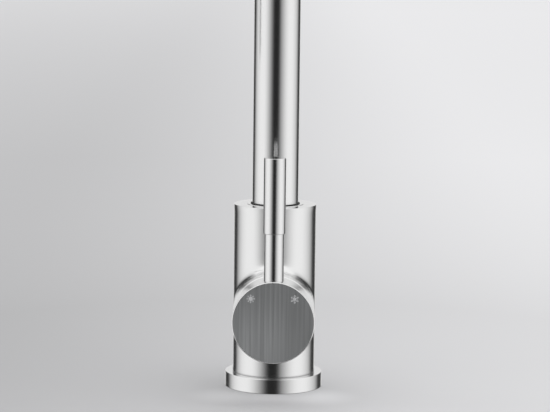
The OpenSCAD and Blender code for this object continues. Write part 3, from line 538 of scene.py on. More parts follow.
# The spout is one length of thin steel tube, bent in a half circle on a former. Its brush marks
# run round the tube and follow it over the arch, so they are laid out along the tube's own length.
tube_r = 14
tube_wall = 1.2
arch_r = 107
arch_z = 304
tube_foot_z = levels("spout_tube")[0]
mouth_z = 284
mouth_edge = 0.4
mouth_grow = 1 - 0.3 / tube_r
arch_steps = 96
riser_steps = 8
leg_y = -2 * arch_r
spout = circle("spout_pipe", 96, tube_r)
edit_all()
bpy.ops.transform.translate(value=(0, 0, tube_foot_z * MM))
for i in range(riser_steps):
    raise_up((arch_z - tube_foot_z) / riser_steps)
bpy.ops.mesh.spin(steps=arch_steps, angle=-math.pi, center=(0, -arch_r * MM, arch_z * MM), axis=(1, 0, 0))
raise_up(mouth_z + mouth_edge - arch_z)
raise_up(-mouth_edge)
bpy.ops.transform.resize(value=(mouth_grow, mouth_grow, 1), center_override=(0, leg_y * MM, mouth_z * MM))
edit_done(merge=0.001)
work(spout, "SOLIDIFY", thickness=tube_wall * MM, offset=-1)


def lay_along(piece, axis_r, axis_z):
    """Stores where each point lies round and along a bent tube, for marks that follow the tube."""
    lay = piece.data.attributes.new("lay", "FLOAT_VECTOR", "POINT")
    for point, spot in zip(piece.data.vertices, lay.data):
        x, y, z = point.co
        if z < axis_z:
            leg = y < -axis_r
            along = math.pi * axis_r + axis_z - z if leg else z - axis_z
            outward = -(y + 2 * axis_r) if leg else y
        else:
            along = math.atan2(z - axis_z, y + axis_r) * axis_r
            outward = math.hypot(z - axis_z, y + axis_r) - axis_r
        spot.vector = (x, outward, along)


lay_along(spout, arch_r * MM, arch_z * MM)
finish(spout, brushed_steel("steel_brushed_along", lines_round, layer="lay"))
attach(spout, "spout")
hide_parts("spout_tube")


# The spray head's casing is a steel sleeve, drawn in at its top to meet the spout. A window in
# its front lets the mode button through.
def cut_away(piece, cutter):
    """Cuts one piece's shape out of another, and clears the cutter away."""
    work(piece, "BOOLEAN", operation="DIFFERENCE", solver="EXACT", object=cutter)
    bpy.data.objects.remove(cutter)


def draw_up(height):
    """Draws the flat piece that is active up or down into a block."""
    edit_all()
    raise_up(height)
    edit_done()


button_r = 5.5
button_reach = 5.5
window_gap = 0.3
at_head = (0, leg_y, 0)


def button_prism(name, margin, near, deep):
    """Stadium-shaped block along the head's front, between two depths from its axis."""
    prism = circle(name, 48, button_r + margin, "NGON")
    for point in prism.data.vertices:
        point.co.y += button_reach * MM if point.co.y > 0 else -button_reach * MM
    draw_up(near - deep)
    return settle(prism, (0, leg_y - deep, button_z), (math.pi / 2, 0, 0))


head_low, head_high = levels("head_shell")
head_r = 16.2
head_in_r = 15
neck_top_r = 13.9
neck_in_r = 13
neck_hole_low = head_high - 2
taper_low = head_high - 12
hollow_high = head_high - 14
window_far = 22
window_near = 8
button_z = sum(levels("mode_button")) / 2
head_outline = [(head_in_r, head_low)] + rounded(head_r, head_low, 1)
head_outline += [(head_r, taper_low - 0.4), (head_r - 0.03, taper_low), (head_r - 0.1, taper_low + 0.4),
                 (neck_top_r + 0.45, head_high - 0.9), (neck_top_r + 0.3, head_high - 0.3),
                 (neck_top_r, head_high), (neck_in_r, head_high), (neck_in_r, neck_hole_low),
                 (head_in_r, hollow_high)]
head = settle(turn("head_casing", head_outline), at_head)
cut_away(head, button_prism("window", window_gap, window_far, window_near))
steel_head = brushed_steel("steel_brushed_head", lines_round)
finish(head, steel_head)
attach(head, "spray_head")
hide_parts("head_shell")


# The mode button is a soft black pad in the head's front, rounded to the head's own curve, with
# a few fine grooves across it that the thumb can feel.
pad_face_r = 16.8
pad_back = 13.2
pad_front = 17.6
pad_edge = 0.35
shaper_r = 24
groove_depth = 0.25
groove_w = 0.8
groove_step = 2.4
grooves_each_way = 2


def cutting_ring(name, inner_r, outer_r, low, high):
    """Square ring about the head's axis, to cut with."""
    return settle(turn(name, [(outer_r, low), (inner_r, low), (inner_r, high), (outer_r, high)]), at_head)


button = button_prism("mode_pad", 0, pad_back, pad_front)
cut_away(button, cutting_ring("pad_shaper", pad_face_r, shaper_r, head_low, head_high))
work(button, "BEVEL", width=pad_edge * MM, segments=3, angle_limit=math.radians(50))
for i in range(-grooves_each_way, grooves_each_way + 1):
    groove_z = button_z + i * groove_step
    cut_away(button, cutting_ring("groove", pad_face_r - groove_depth, pad_face_r + 1,
                                  groove_z - groove_w / 2, groove_z + groove_w / 2))
finish(button, rubber, angle=40)
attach(button, "button")
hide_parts("mode_button")


# The lever's hub is a thick steel disc on the branch. It is hollowed to swing over the ball-shaped
# cover behind it, and its lower back is relieved so that the lever can lift.
def turn_solid(name, outline, steps=96):
    """Turns an open outline of (radius, height) points, and closes it flat at both ends."""
    piece = turn(name, outline, steps, ring=False)
    bpy.ops.object.mode_set(mode="EDIT")
    bpy.ops.mesh.select_all(action="DESELECT")
    bpy.ops.mesh.select_mode(type="EDGE")
    bpy.ops.mesh.select_non_manifold(extend=False, use_wire=False, use_boundary=True,
                                     use_multi_face=False, use_non_contiguous=False, use_verts=False)
    bpy.ops.mesh.edge_face_add()
    bpy.ops.mesh.select_mode(type="VERT")
    edit_done()
    return piece


core_r = 1
pivot_x = 30


def ball_arc(ball_r, first, last, steps):
    """Outline points on a ball round the lever's pivot, between two angles off the axis."""
    swings = [first + (last - first) * i / steps for i in range(steps + 1)]
    return [(ball_r * math.sin(swing), pivot_x + ball_r * math.cos(swing)) for swing in swings]


hub_back, hub_front = (corner.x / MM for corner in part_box("handle_hub"))
hub_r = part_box("handle_hub")[1].y / MM
rim = 0.5
rim_soft = 0.1
back_edge = 0.3
face_t = 0.9
cavity_r = 24.25
cavity_top_r = 0.3
cavity_arcs = 12
lift_angle = math.radians(20)
along_branch = (0, math.pi / 2, 0)
hub_outline = ball_arc(cavity_r, math.asin(cavity_top_r / cavity_r),
                       math.acos((hub_back - pivot_x) / cavity_r), cavity_arcs)
hub_outline += [(hub_r - back_edge, hub_back), (hub_r, hub_back + back_edge), (hub_r, hub_front - rim),
                (hub_r - 0.06, hub_front - 0.28), (hub_r - rim / 2, hub_front - rim_soft),
                (hub_r - rim + rim_soft, hub_front), (hub_r - rim, hub_front - rim_soft),
                (hub_r - rim, hub_front - face_t), (core_r, hub_front - face_t)]
hub = settle(turn_solid("lever_hub", hub_outline, steps=144), (0, 0, branch_z), along_branch)
bpy.ops.object.select_all(action="DESELECT")
bpy.ops.mesh.primitive_cube_add(size=4 * hub_r * MM)
relief_block = settle(bpy.context.object, (-2 * hub_r, 0, -2 * hub_r))
cut_away(hub, settle(relief_block, (hub_back, 0, branch_z), (0, -lift_angle, 0)))
screw_place = (58.8, 0, branch_z)
plug_r = 3.4
plug_hole_r = plug_r + 0.05
plug_top = -hub_r + 2.2
plug_hole = turn_solid("plug_hole", [(plug_hole_r, -hub_r - 1), (plug_hole_r, plug_top)], steps=48)
cut_away(hub, settle(plug_hole, screw_place))
steel_round_x = brushed_steel("steel_brushed_hub", (4000, 60, 60))
finish(hub, steel_round_x)
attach(hub, "handle")
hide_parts("handle_hub")


# The hub's face is a thin round plate, brushed straight up and down, so it looks darker than the
# polished rim round it. A painted highlight makes it a shade lighter at its lower left, with painted
# shade over the rest. A sun etched into it marks hot, and a snowflake marks cold.
face_r = hub_r - rim - 0.05
face_soft = 0.1
mark_rise = 0.05
face_high = face_t - mark_rise
# Painted highlight: the face keeps its full colour near a spot at its lower left, and is painted darker
# away from it.
painted_highlight_place = (hub_front * MM, -12 * MM, (branch_z - 13) * MM)
painted_highlight_near = 4 * MM
painted_highlight_far = 36 * MM
painted_shade_share = 0.78
face_paint = brushed_steel("steel_brushed_straight", (420, 900, 14), (0.79, 0.805, 0.815),
                           dullness=0.48, depth=0.12, streak=0.3)
net = face_paint.node_tree
face_color = net.nodes["Principled BSDF"].inputs["Base Color"]
place = add(net, "ShaderNodeTexCoord").outputs["Object"]
from_painted_highlight = add(net, "ShaderNodeVectorMath", {0: place, 1: painted_highlight_place}, operation="DISTANCE")
share = ease(net, from_painted_highlight.outputs["Value"], painted_highlight_near, painted_highlight_far, 1, painted_shade_share)
painted_highlight_tint = add(net, "ShaderNodeVectorMath", {0: face_color.links[0].from_socket, "Scale": share},
           operation="SCALE")
net.links.new(painted_highlight_tint.outputs["Vector"], face_color)
face = turn_solid("hub_plate", [(core_r, 0), (face_r, 0), (face_r, face_high - face_soft),
                                (face_r - face_soft, face_high), (core_r, face_high)], steps=144)
settle(face, (hub_front - face_t, 0, branch_z), along_branch)
finish(face, face_paint)
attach(face, "handle")
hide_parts("hub_face")


def etched_bar(length, width, near, degrees):
    """Flat bar that starts at a distance from the mark's centre and points along an angle."""
    bpy.ops.object.select_all(action="DESELECT")
    bpy.ops.mesh.primitive_plane_add(size=1, location=(0, 0, 0))
    edit_all()
    bpy.ops.transform.resize(value=(length * MM, width * MM, 1))
    bpy.ops.transform.translate(value=((near + length / 2) * MM, 0, 0))
    bpy.ops.object.mode_set(mode="OBJECT")
    return settle(bpy.context.object, (0, 0, 0), (0, 0, math.radians(degrees)))


def join(pieces):
    """Joins pieces into the first of them."""
    pick(*pieces)
    bpy.ops.object.join()
    return pieces[0]


def etched_mark(name, flats, aside):
    """Joins flat shapes into one mark, gives it its thickness and lays it on the plate."""
    mark = join(flats)
    mark.name = name
    draw_up(mark_rise)
    settle(mark, (hub_front - mark_rise, aside, branch_z + mark_height), along_branch)
    finish(mark, mark_paint)
    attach(mark, "handle")


mark_paint = brushed_steel("steel_etched", (2600, 2600, 2600), (1, 1, 1), dullness=0.7, depth=0.2,
                           streak=0)
mark_shader = mark_paint.node_tree.nodes["Principled BSDF"]
mark_shader.inputs["Metallic"].default_value = 0.2
mark_shade = mark_shader.inputs["Base Color"].links[0].from_node
mark_shade.inputs["A"].default_value = (0.60, 0.605, 0.61, 1)
mark_shade.inputs["B"].default_value = (0.64, 0.645, 0.65, 1)
mark_height = 14.3
sun_aside = -13.2
sun_r = 1.25
sun_rays = 8
sun_ray = (0.95, 0.6, 1.5)
snow_aside = 12.4
snow_core_r = 0.5
snow_arms = 6
snow_arm = (2.05, 0.66, 0.42)
snow_twig = (0.6, 0.35, 0.2)
twig_spread = 50
twig_out = 1.25
sun_parts = [circle("sun", 24, sun_r, "NGON")]
sun_parts += [etched_bar(*sun_ray, 360 / sun_rays * i) for i in range(sun_rays)]
etched_mark("sun_mark", sun_parts, sun_aside)
snow_parts = [circle("snow", 6, snow_core_r, "NGON")]
for i in range(snow_arms):
    degrees = 360 / snow_arms * i
    snow_parts.append(etched_bar(*snow_arm, degrees))
    out = (twig_out * math.cos(math.radians(degrees)), twig_out * math.sin(math.radians(degrees)), 0)
    for lean in (-twig_spread, twig_spread):
        snow_parts.append(settle(etched_bar(*snow_twig, degrees + lean), out))
etched_mark("snow_mark", snow_parts, snow_aside)


# The lever is a slim neck screwed into the hub, and a thicker grip turned from bar that screws
# on to the neck's upper stud.
lever_x = 56.5
neck_low = levels("lever_neck")[0]
neck_r = 5.75
neck_sunk = 0.3
neck_seat = branch_z + math.sqrt(hub_r ** 2 - neck_r ** 2) - neck_sunk
stud_r = 4
grip_low, grip_high = levels("lever_grip")
grip_r = 6.5
stud_top = grip_low + 22
hole_top = stud_top + 0.3
neck = turn_solid("lever_neck_bar", [(stud_r, neck_low), (stud_r, neck_seat), (neck_r, neck_seat),
                                     (neck_r, grip_low), (stud_r, grip_low), (stud_r, stud_top)],
                  steps=64)
settle(neck, (lever_x, 0, 0))
finish(neck, steel_head)
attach(neck, "handle")
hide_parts("lever_neck")

grip_outline = [(core_r, hole_top), (stud_r, hole_top), (stud_r, grip_low)]
grip_outline += rounded(grip_r, grip_low, 1) + rounded(grip_r, grip_high, -1)[::-1] + [(core_r, grip_high)]
grip = settle(turn_solid("lever_grip_bar", grip_outline, steps=64), (lever_x, 0, 0))
finish(grip, steel_head)
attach(grip, "handle")
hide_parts("lever_grip")

# A small plug of grey plastic is pushed into the hole under the hub. It hides the set screw that
# holds the lever on the cartridge's stem.
plastic_grey = plain_paint("grey_plastic", (0.045, 0.047, 0.05), dullness=0.42)
plug_face = -math.sqrt(hub_r ** 2 - plug_r ** 2)
plug_dish = plug_face + 0.25
plug_dish_r = plug_r - 1
plug_edge = 0.2
plug = turn_solid("set_screw_plug", [(core_r, plug_dish), (plug_dish_r, plug_dish),
                                     (plug_dish_r + plug_edge, plug_face), (plug_r - plug_edge, plug_face),
                                     (plug_r, plug_face + plug_edge), (plug_r, plug_top),
                                     (core_r, plug_top)], steps=48)
settle(plug, screw_place)
finish(plug, plastic_grey)
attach(plug, "handle")
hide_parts("screw_plug")

# The bonnet is a ball-shaped steel cover that screws into the branch over the cartridge. The hub
# swings over it, and it shows in the gap when the lever is lifted.
bonnet_edge_r = 20.5
bonnet_wall = 1.8
bonnet_foot = branch_end - 6
bonnet_r = math.hypot(branch_end - pivot_x, bonnet_edge_r)
bonnet_hole_r = math.sqrt(bonnet_r ** 2 - (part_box("bonnet")[1].x / MM - pivot_x) ** 2)
bonnet_in_r = bonnet_r - bonnet_wall
bonnet_skirt_r = bonnet_edge_r - bonnet_wall
bonnet_arcs = 14
bonnet_outline = [(branch_bore_r, bonnet_foot), (branch_bore_r, branch_end)]
bonnet_outline += ball_arc(bonnet_r, math.asin(bonnet_edge_r / bonnet_r),
                           math.asin(bonnet_hole_r / bonnet_r), bonnet_arcs)
bonnet_outline += ball_arc(bonnet_in_r, math.asin(bonnet_hole_r / bonnet_in_r),
                           math.acos((branch_end - pivot_x) / bonnet_in_r), bonnet_arcs)
bonnet_outline += [(bonnet_skirt_r, branch_end - 0.4), (bonnet_skirt_r, bonnet_foot)]
bonnet = settle(turn("ball_cover", bonnet_outline), (0, 0, branch_z), along_branch)
finish(bonnet, steel_round_x)
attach(bonnet, "root")
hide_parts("bonnet")


# A flat rubber ring lies in the groove of the foot's underside. It seals the foot to the worktop,
# so its outer edges are softened.
def flat_ring(name, inner_r, outer_r, low, high, rounding):
    """Flat washer with its two outer edges rounded."""
    outline = [(inner_r, low), (outer_r, low), (outer_r, high), (inner_r, high)]
    return turn(name, soft_edge(soft_edge(outline, 2, rounding), 1, rounding))


foot_seal = flat_ring("foot_seal", seal_in_r, seal_out_r, 0, seal_high, rounding=0.2)
finish(foot_seal, rubber)
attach(foot_seal, "root")
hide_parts("base_seal")


# The shank is a brass tube threaded on its outside. It drops through the worktop's hole, and the
# supply hoses and the pull hose pass through it.
def threaded_bar(name, crest_r, root_r, pitch, low, high, steps):
    """Bar with a helical thread, cut flat at both ends."""
    turns = math.ceil((high - low) / pitch) + 2
    profile = [(root_r, 0), (root_r, 0.12), (crest_r, 0.46), (crest_r, 0.62), (root_r, 1)]
    points = [(radius * MM, 0, (low - pitch + share * pitch) * MM) for radius, share in profile]
    line = bpy.data.meshes.new(name)
    line.from_pydata(points, [(i, i + 1) for i in range(len(points) - 1)], [])
    bar = new_piece(name, line)
    work(bar, "SCREW", steps=steps, render_steps=steps, screw_offset=pitch * MM, iterations=turns)
    edit_all()
    bpy.ops.mesh.remove_doubles(threshold=0.002 * MM)
    for height, keep_above in ((low, True), (high, False)):
        bpy.ops.mesh.select_all(action="SELECT")
        bpy.ops.mesh.bisect(plane_co=(0, 0, height * MM), plane_no=(0, 0, 1), use_fill=True,
                            clear_inner=keep_above, clear_outer=not keep_above)
    edit_done()
    return bar


brass = plain_paint("brass_cast", (0.62, 0.45, 0.20), dullness=0.32, metal=1, grain=900)
shank_r = 16.5
shank_bore_r = 14.5
shank_low, shank_high = levels("threaded_shank")
thread_high = -1.5
thread_depth = 0.9
thread_pitch = 1.5
shank = threaded_bar("shank", shank_r, shank_r - thread_depth, thread_pitch, shank_low, thread_high,
                     steps=72)
plain_end = turn("shank_top", [(shank_bore_r, thread_high), (shank_r, thread_high),
                               (shank_r, shank_high), (shank_bore_r, shank_high)], steps=72)
cut_away(shank, turn_solid("shank_bore", [(shank_bore_r, shank_low - 1), (shank_bore_r, 2)], steps=72))
join([shank, plain_end])
finish(shank, brass, angle=25)
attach(shank, "root")
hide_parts("threaded_shank")

# Under the worktop a rubber washer, a steel washer and a large nut clamp the tap, and three screws
# in the nut push the steel washer up tight.
washer_bore_r = 17
rubber_out_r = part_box("rubber_washer")[1].x / MM
under_rubber = flat_ring("clamp_rubber", washer_bore_r, rubber_out_r, *levels("rubber_washer"),
                         rounding=0.4)
finish(under_rubber, rubber)
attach(under_rubber, "root")
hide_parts("rubber_washer")

steel_plain = brushed_steel("steel_plain", (700, 700, 700), (0.62, 0.62, 0.61), dullness=0.3,
                            depth=0.05, streak=0.06)
steel_out_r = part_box("steel_washer")[1].x / MM
under_steel = flat_ring("clamp_washer", washer_bore_r, steel_out_r, *levels("steel_washer"),
                        rounding=0.3)
finish(under_steel, steel_plain)
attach(under_steel, "root")
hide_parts("steel_washer")


def ring_places(count, ring_r, shift=0):
    """Places spaced evenly round a ring."""
    turns = [2 * math.pi * (i + shift) / count for i in range(count)]
    return [(ring_r * math.cos(turned), ring_r * math.sin(turned)) for turned in turns]


nut_r = 29
nut_low, nut_high = levels("mounting_nut")
nut_chamfer_r = 27.2
nut_chamfer_h = 2.56
jack_r = 2.5
jack_depth = 0.42
jack_pitch = 0.8
jack_count = 3
jack_ring_r = 21.5
jack_places = ring_places(jack_count, jack_ring_r)
nut = circle("clamp_nut", 6, nut_r, "NGON")
draw_up(nut_high - nut_low)
settle(nut, (0, 0, nut_low), (0, 0, math.pi / 6))
for face_z, out in ((nut_low, -1), (nut_high, 1)):
    cut_away(nut, turn("chamfer", [(nut_chamfer_r, face_z + out), (nut_chamfer_r, face_z),
                                   (nut_r + 1, face_z - out * nut_chamfer_h), (nut_r + 1, face_z + out)]))
cut_away(nut, turn_solid("nut_bore", [(shank_r, nut_low - 1), (shank_r, nut_high + 1)]))
for x, y in jack_places:
    jack_hole = turn_solid("jack_hole", [(jack_r, nut_low - 1), (jack_r, nut_high + 1)], steps=32)
    cut_away(nut, settle(jack_hole, (x, y, 0)))
finish(nut, brass)
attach(nut, "root")
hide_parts("mounting_nut")

jack_low, jack_high = levels("jack_screws")
slot_w = 1
slot_h = 1.2
jacks = []
for x, y in jack_places:
    jack = threaded_bar("jack", jack_r, jack_r - jack_depth, jack_pitch, jack_low, jack_high, steps=24)
    bpy.ops.object.select_all(action="DESELECT")
    bpy.ops.mesh.primitive_cube_add(size=1)
    slot = bpy.context.object
    slot.scale = (4 * jack_r * MM, slot_w * MM, 2 * slot_h * MM)
    cut_away(jack, settle(slot, (0, 0, jack_low)))
    jacks.append(settle(jack, (x, y, 0)))
jack_set = join(jacks)
jack_set.name = "clamp_screws"
finish(jack_set, steel_plain, angle=25)
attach(jack_set, "root")
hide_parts("jack_screws")


# The pull hose is a rubber hose in a tight braid of grey yarn. It runs from its tail under the
# worktop, up through the body and over the arch, to the spray head.
def braided_yarn(name, carriers, rise):
    """Crossing yarns laid out by which way the hose's skin faces and by height, with painted shade where
    they dip between the crossings.
    """
    paint, net, shader = new_paint(name)
    skin = add(net, "ShaderNodeTexCoord")
    facing = add(net, "ShaderNodeSeparateXYZ", {0: skin.outputs["Normal"]})
    place = add(net, "ShaderNodeSeparateXYZ", {0: skin.outputs["Object"]})
    bearing = maths(net, "ARCTAN2", facing.outputs["Y"], facing.outputs["X"])
    round_way = maths(net, "MULTIPLY", bearing, carriers / 2)
    climb = maths(net, "MULTIPLY", place.outputs["Z"], rise)
    left_yarn, right_yarn = (maths(net, "ABSOLUTE", maths(net, "SINE", maths(net, way, round_way, climb)))
                             for way in ("ADD", "SUBTRACT"))
    height = maths(net, "MAXIMUM", left_yarn, right_yarn)
    # The yarn's colour is painted darker where it dips between the crossings: painted shade in the braid's
    # crevices.
    shade = mix(net, maths(net, "POWER", height, 3.0), (0.10, 0.10, 0.11, 1), (0.46, 0.47, 0.48, 1))
    net.links.new(shade, shader.inputs["Base Color"])
    shader.inputs["Roughness"].default_value = 0.55
    relief = add(net, "ShaderNodeBump", {"Strength": 0.5, "Distance": 0.3 * MM, "Height": height})
    net.links.new(relief.outputs[0], shader.inputs["Normal"])
    return paint


yarn = braided_yarn("hose_yarn", carriers=32, rise=2600)
hose_r = 6
hose_bore_r = 3.5
hose_sides = 32


def hose_length(name, route, across):
    """Hose wall along a route of centres and headings in one plane, with the way across that plane."""
    mesh = bmesh.new()
    across = Vector(across)
    turns = [2 * math.pi * k / hose_sides for k in range(hose_sides)]
    rings = []
    for centre, heading in route:
        aside = Vector(heading).normalized().cross(across)
        spokes = [across * math.cos(turned) + aside * math.sin(turned) for turned in turns]
        rings.append([[mesh.verts.new((Vector(centre) + spoke * radius) * MM) for spoke in spokes]
                      for radius in (hose_r, hose_bore_r)])
    for (outer, inner), (next_outer, next_inner) in zip(rings, rings[1:]):
        band(mesh, outer, next_outer)
        band(mesh, inner, next_inner)
    band(mesh, *rings[0])
    band(mesh, *rings[-1])
    piece = mesh_piece(name, mesh)
    finish(piece, yarn)
    return piece


def straight(x, y, low, high, steps, heading):
    """Straight stretch of a route, up to but without its last point."""
    return [((x, y, low + (high - low) * i / steps), (0, 0, heading)) for i in range(steps)]


hose_aside = 7.5
hose_end_z = -84
hose_bend_r = 48
hose_head_z = 293
bend_steps = 8
arch_rings = 64
leg_rings = 240
bend_swing = math.acos(1 - hose_aside / (2 * hose_bend_r))
bend_top = branch_z + 2 * hose_bend_r * math.sin(bend_swing)
tail_top = 120
tail_route = straight(-hose_aside, 0, hose_end_z, branch_z, 60, 1)
for i in range(2 * bend_steps + 1):
    swing = bend_swing * (1 - abs(1 - i / bend_steps))
    aside = hose_bend_r * (1 - math.cos(swing))
    rise = hose_bend_r * math.sin(swing)
    x, z = (aside - hose_aside, branch_z + rise) if i <= bend_steps else (-aside, bend_top - rise)
    tail_route.append(((x, 0, z), (math.sin(swing), 0, math.cos(swing))))
tail_route += straight(0, 0, bend_top, tail_top, 10, 1)[1:] + [((0, 0, tail_top), (0, 0, 1))]
hose_tail = hose_length("hose_tail", tail_route, (0, 1, 0))
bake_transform(hose_tail)

main_route = straight(0, 0, tail_top, arch_z, 12, 1)
for i in range(arch_rings + 1):
    swing = math.pi * i / arch_rings
    main_route.append(((0, -arch_r + arch_r * math.cos(swing), arch_z + arch_r * math.sin(swing)),
                       (0, -math.sin(swing), math.cos(swing))))
hose_main = hose_length("hose_over_arch", main_route, (1, 0, 0))
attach(hose_main, "spout")
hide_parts("pull_hose")

leg_route = straight(0, leg_y, arch_z, hose_head_z, leg_rings, -1)
leg_route.append(((0, leg_y, hose_head_z), (0, 0, -1)))
hose_leg = hose_length("hose_leg", leg_route, (1, 0, 0))
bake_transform(hose_leg)


# Each end of the hose is held in a steel ferrule that is crimped on in narrow rings. The brass
# tail carries a groove for its seal, and plugs into the mixed water's outlet.
ferrule_in_r = 6.05
ferrule_r = 7.35
ferrule_edge = 0.3
crimps = 3
crimp_half = 0.6
crimp_r = ferrule_r - 0.45


def crimped_ferrule(name, node, place, body):
    """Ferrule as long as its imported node, with narrow rings crimped into it."""
    low, high = levels(node)
    outline = [(ferrule_in_r, low), (ferrule_r - ferrule_edge, low), (ferrule_r, low + ferrule_edge)]
    for k in range(crimps):
        middle = low + (high - low) * (k + 1) / (crimps + 1)
        outline += [(ferrule_r, middle - crimp_half - ferrule_edge), (crimp_r, middle - crimp_half),
                    (crimp_r, middle + crimp_half), (ferrule_r, middle + crimp_half + ferrule_edge)]
    outline += [(ferrule_r, high - ferrule_edge), (ferrule_r - ferrule_edge, high), (ferrule_in_r, high)]
    ferrule = settle(turn(name, outline, steps=64), place)
    finish(ferrule, steel_plain)
    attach(ferrule, body)
    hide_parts(node)
    return ferrule


hose_ferrule = crimped_ferrule("hose_ferrule_low", "lower_ferrule", (-hose_aside, 0, 0), "root")
crimped_ferrule("hose_ferrule_high", "upper_ferrule", at_head, "hose_end")

tail_end = levels("hose_tail_fitting")[0]
tail_collar = hose_end_z - 4
tail_bore_r = 1.75
tail_r = 5
tail_groove_r = 4.1
tail_groove_low = tail_end + 4
tail_groove_high = tail_end + 6
tail_collar_r = 6.5
collar_edge = 0.3
tail_barb_r = 3.4
tail_barb_top = hose_end_z + 12
tail_outline = [(tail_bore_r, tail_end), (tail_r - 0.4, tail_end), (tail_r, tail_end + 0.4),
                (tail_r, tail_groove_low), (tail_groove_r, tail_groove_low + 0.2),
                (tail_groove_r, tail_groove_high), (tail_r, tail_groove_high + 0.2),
                (tail_r, tail_collar), (tail_collar_r - collar_edge, tail_collar),
                (tail_collar_r, tail_collar + collar_edge), (tail_collar_r, hose_end_z - collar_edge),
                (tail_collar_r - collar_edge, hose_end_z), (tail_barb_r, hose_end_z),
                (tail_barb_r, tail_barb_top), (tail_bore_r, tail_barb_top)]
tail_fitting = settle(turn("hose_tail_plug", tail_outline, steps=64), (-hose_aside, 0, 0))
finish(tail_fitting, brass)
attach(tail_fitting, "root")
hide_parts("hose_tail_fitting")

# A ring magnet and a plastic guide sit in the spout's mouth. They take the head's neck, and hold
# the head up by the steel ring round it.
magnet_paint = plain_paint("magnet_dark", (0.16, 0.16, 0.165), dullness=0.28, metal=1, grain=700,
                           depth=0.04)
mouth_in_r = 11.6
mouth_out_r = tube_r - tube_wall
for name, node, paint, slot_name in (("mouth_magnet", "dock_magnet", magnet_paint, "magnet"),
                                     ("mouth_guide", "nose_insert", plastic_grey, "grey_plastic")):
    low, high = levels(node)
    guide = turn(name, [(mouth_in_r + 0.3, low), (mouth_out_r - 0.2, low), (mouth_out_r, low + 0.2),
                        (mouth_out_r, high), (mouth_in_r, high), (mouth_in_r, low + 0.3)])
    settle(guide, at_head)
    finish(guide, paint)
    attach(guide, "spout")
    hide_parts(node)

catch_in_r = 11.25
catch_out_r = 13
catch_low, catch_high = levels("catch_ring")
catch = turn("neck_catch", [(catch_in_r, catch_low), (catch_out_r, catch_low),
                            (catch_out_r, catch_high - 0.2), (catch_out_r - 0.2, catch_high),
                            (catch_in_r + 0.2, catch_high), (catch_in_r, catch_high - 0.2)])
settle(catch, at_head)
finish(catch, magnet_paint)
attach(catch, "spray_head")
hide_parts("catch_ring")


# The head's core, face plate, nozzles and aerator are mouldings. Their curved walls are smoothed
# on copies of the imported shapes, and the nozzle tips are soft black rubber.
def smoothed(node, name, paint, angle=40):
    """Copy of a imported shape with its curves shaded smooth."""
    piece = new_piece(name, nodes[node].data.copy())
    pick(piece)
    edit_all()
    bpy.ops.mesh.remove_doubles(threshold=0.002 * MM)
    bpy.ops.object.mode_set(mode="OBJECT")
    finish(piece, paint, angle)
    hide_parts(node)
    return piece


plastic_white = plain_paint("white_plastic", (0.72, 0.72, 0.70), dullness=0.38)
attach(smoothed("spray_core", "head_core", plastic_grey), "spray_head")
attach(smoothed("spray_plate", "head_face_plate", plastic_grey), "spray_head")
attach(smoothed("aerator_screen", "aerator_mesh", plastic_white, angle=20),
        "spray_head")
air_low, air_high = levels("aerator_housing")
air_r = 7.8
air_in_r = air_r - 1
aerator = turn("aerator_cup", [(air_in_r, air_low + 0.2), (air_in_r + 0.25, air_low),
                               (air_r - 0.25, air_low), (air_r, air_low + 0.25), (air_r, air_high),
                               (air_in_r, air_high)], steps=72)
settle(aerator, at_head)
finish(aerator, plastic_white)
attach(aerator, "spray_head")
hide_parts("aerator_housing")

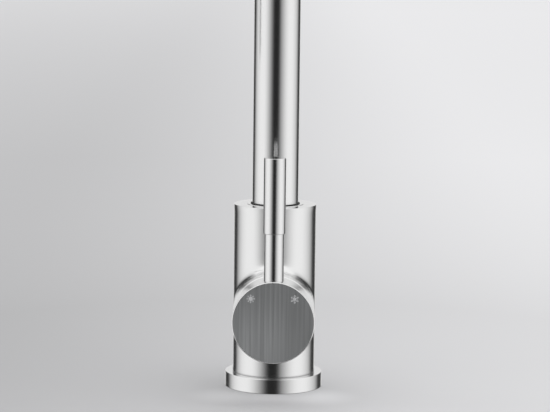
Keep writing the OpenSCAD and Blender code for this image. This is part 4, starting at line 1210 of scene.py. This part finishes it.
mat_low, mat_high = levels("nozzle_mat")
mat_out_r = head_in_r - 0.3
plate_top = levels("spray_plate")[1]
nozzle_rings = ((16, 10.3, 0), (20, 12.7, 0.5))
nozzle_mat = turn("nozzle_mat_ring", [(air_r, plate_top), (mat_out_r, plate_top), (mat_out_r, mat_high),
                                      (air_r, mat_high)], steps=72)
tips = [settle(nozzle_mat, at_head)]
tip_r = 0.9
tip_bore_r = 0.35
first_tip = turn_solid("tip", [(tip_bore_r, mat_low + 0.8), (tip_bore_r, mat_low + 0.12),
                               (tip_bore_r + 0.12, mat_low), (tip_r - 0.3, mat_low),
                               (tip_r - 0.08, mat_low + 0.12), (tip_r, mat_low + 0.4),
                               (tip_r, plate_top + 0.5)], steps=16)
for count, ring_r, shift in nozzle_rings:
    for x, y in ring_places(count, ring_r, shift):
        tips.append(settle(new_piece("tip", first_tip.data.copy()), (x, leg_y + y, 0)))
bpy.data.objects.remove(first_tip)
join(tips)
finish(nozzle_mat, rubber, angle=35)
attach(nozzle_mat, "spray_head")
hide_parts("nozzle_mat")

# Two small springs work in the head, one at the mode button and one at the check valve's poppet.
# They are smoothed copies of the imported shapes, and where each one's two ends lie is worked out but not
# used.
for node, name, moved, axis, far_side in (("button_spring", "spring_of_button", "button", 1, 1),
                                          ("check_spring", "spring_of_check", "poppet", 2, 0)):
    coil = smoothed(node, name, steel_plain, angle=50)
    spring_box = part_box(node)
    still_end = (spring_box[0] + spring_box[1]) / 2
    moving_end = still_end.copy()
    still_end[axis] = spring_box[far_side][axis]
    moving_end[axis] = spring_box[1 - far_side][axis]
    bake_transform(coil)

# What hangs under the worktop is kept out of the bright steel above it, as a real worktop would.
# The floor doesn't show in the steel either, so without this the brass would.
for piece in (shank, under_rubber, under_steel, nut, jack_set, tail_fitting, hose_tail, hose_ferrule):
    piece.visible_glossy = False

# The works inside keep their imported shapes. The cartridge and the head's valves are brass, white
# and grey mouldings, ceramic discs, rubber rings, springs and pins.
ceramic = plain_paint("ceramic_white", (0.84, 0.82, 0.76), dullness=0.16, grain=300, depth=0.01)
inner_finish = [
    (brass, ["valve_block", "retaining_nut", "spout_socket", "spout_sleeve", "upper_hose_fitting",
             "swivel_nut"]),
    (plastic_white, ["cartridge_base", "cartridge_housing", "glide_ring_lower", "glide_ring_upper",
                     "check_valve_cage", "diverter_spool", "spindle_collar"]),
    (plastic_grey, ["check_poppet", "disc_carrier"]),
    (rubber, ["cartridge_seals", "swivel_seal", "fitting_seal", "spool_seals"]),
    (ceramic, ["fixed_ceramic_disc", "moving_ceramic_disc"]),
    (steel_plain, ["retaining_clip", "pivot_pin", "stem", "hub_screw"]),
]
for paint, names in inner_finish:
    for name in names:
        nodes[name].data.materials.clear()
        nodes[name].data.materials.append(paint)
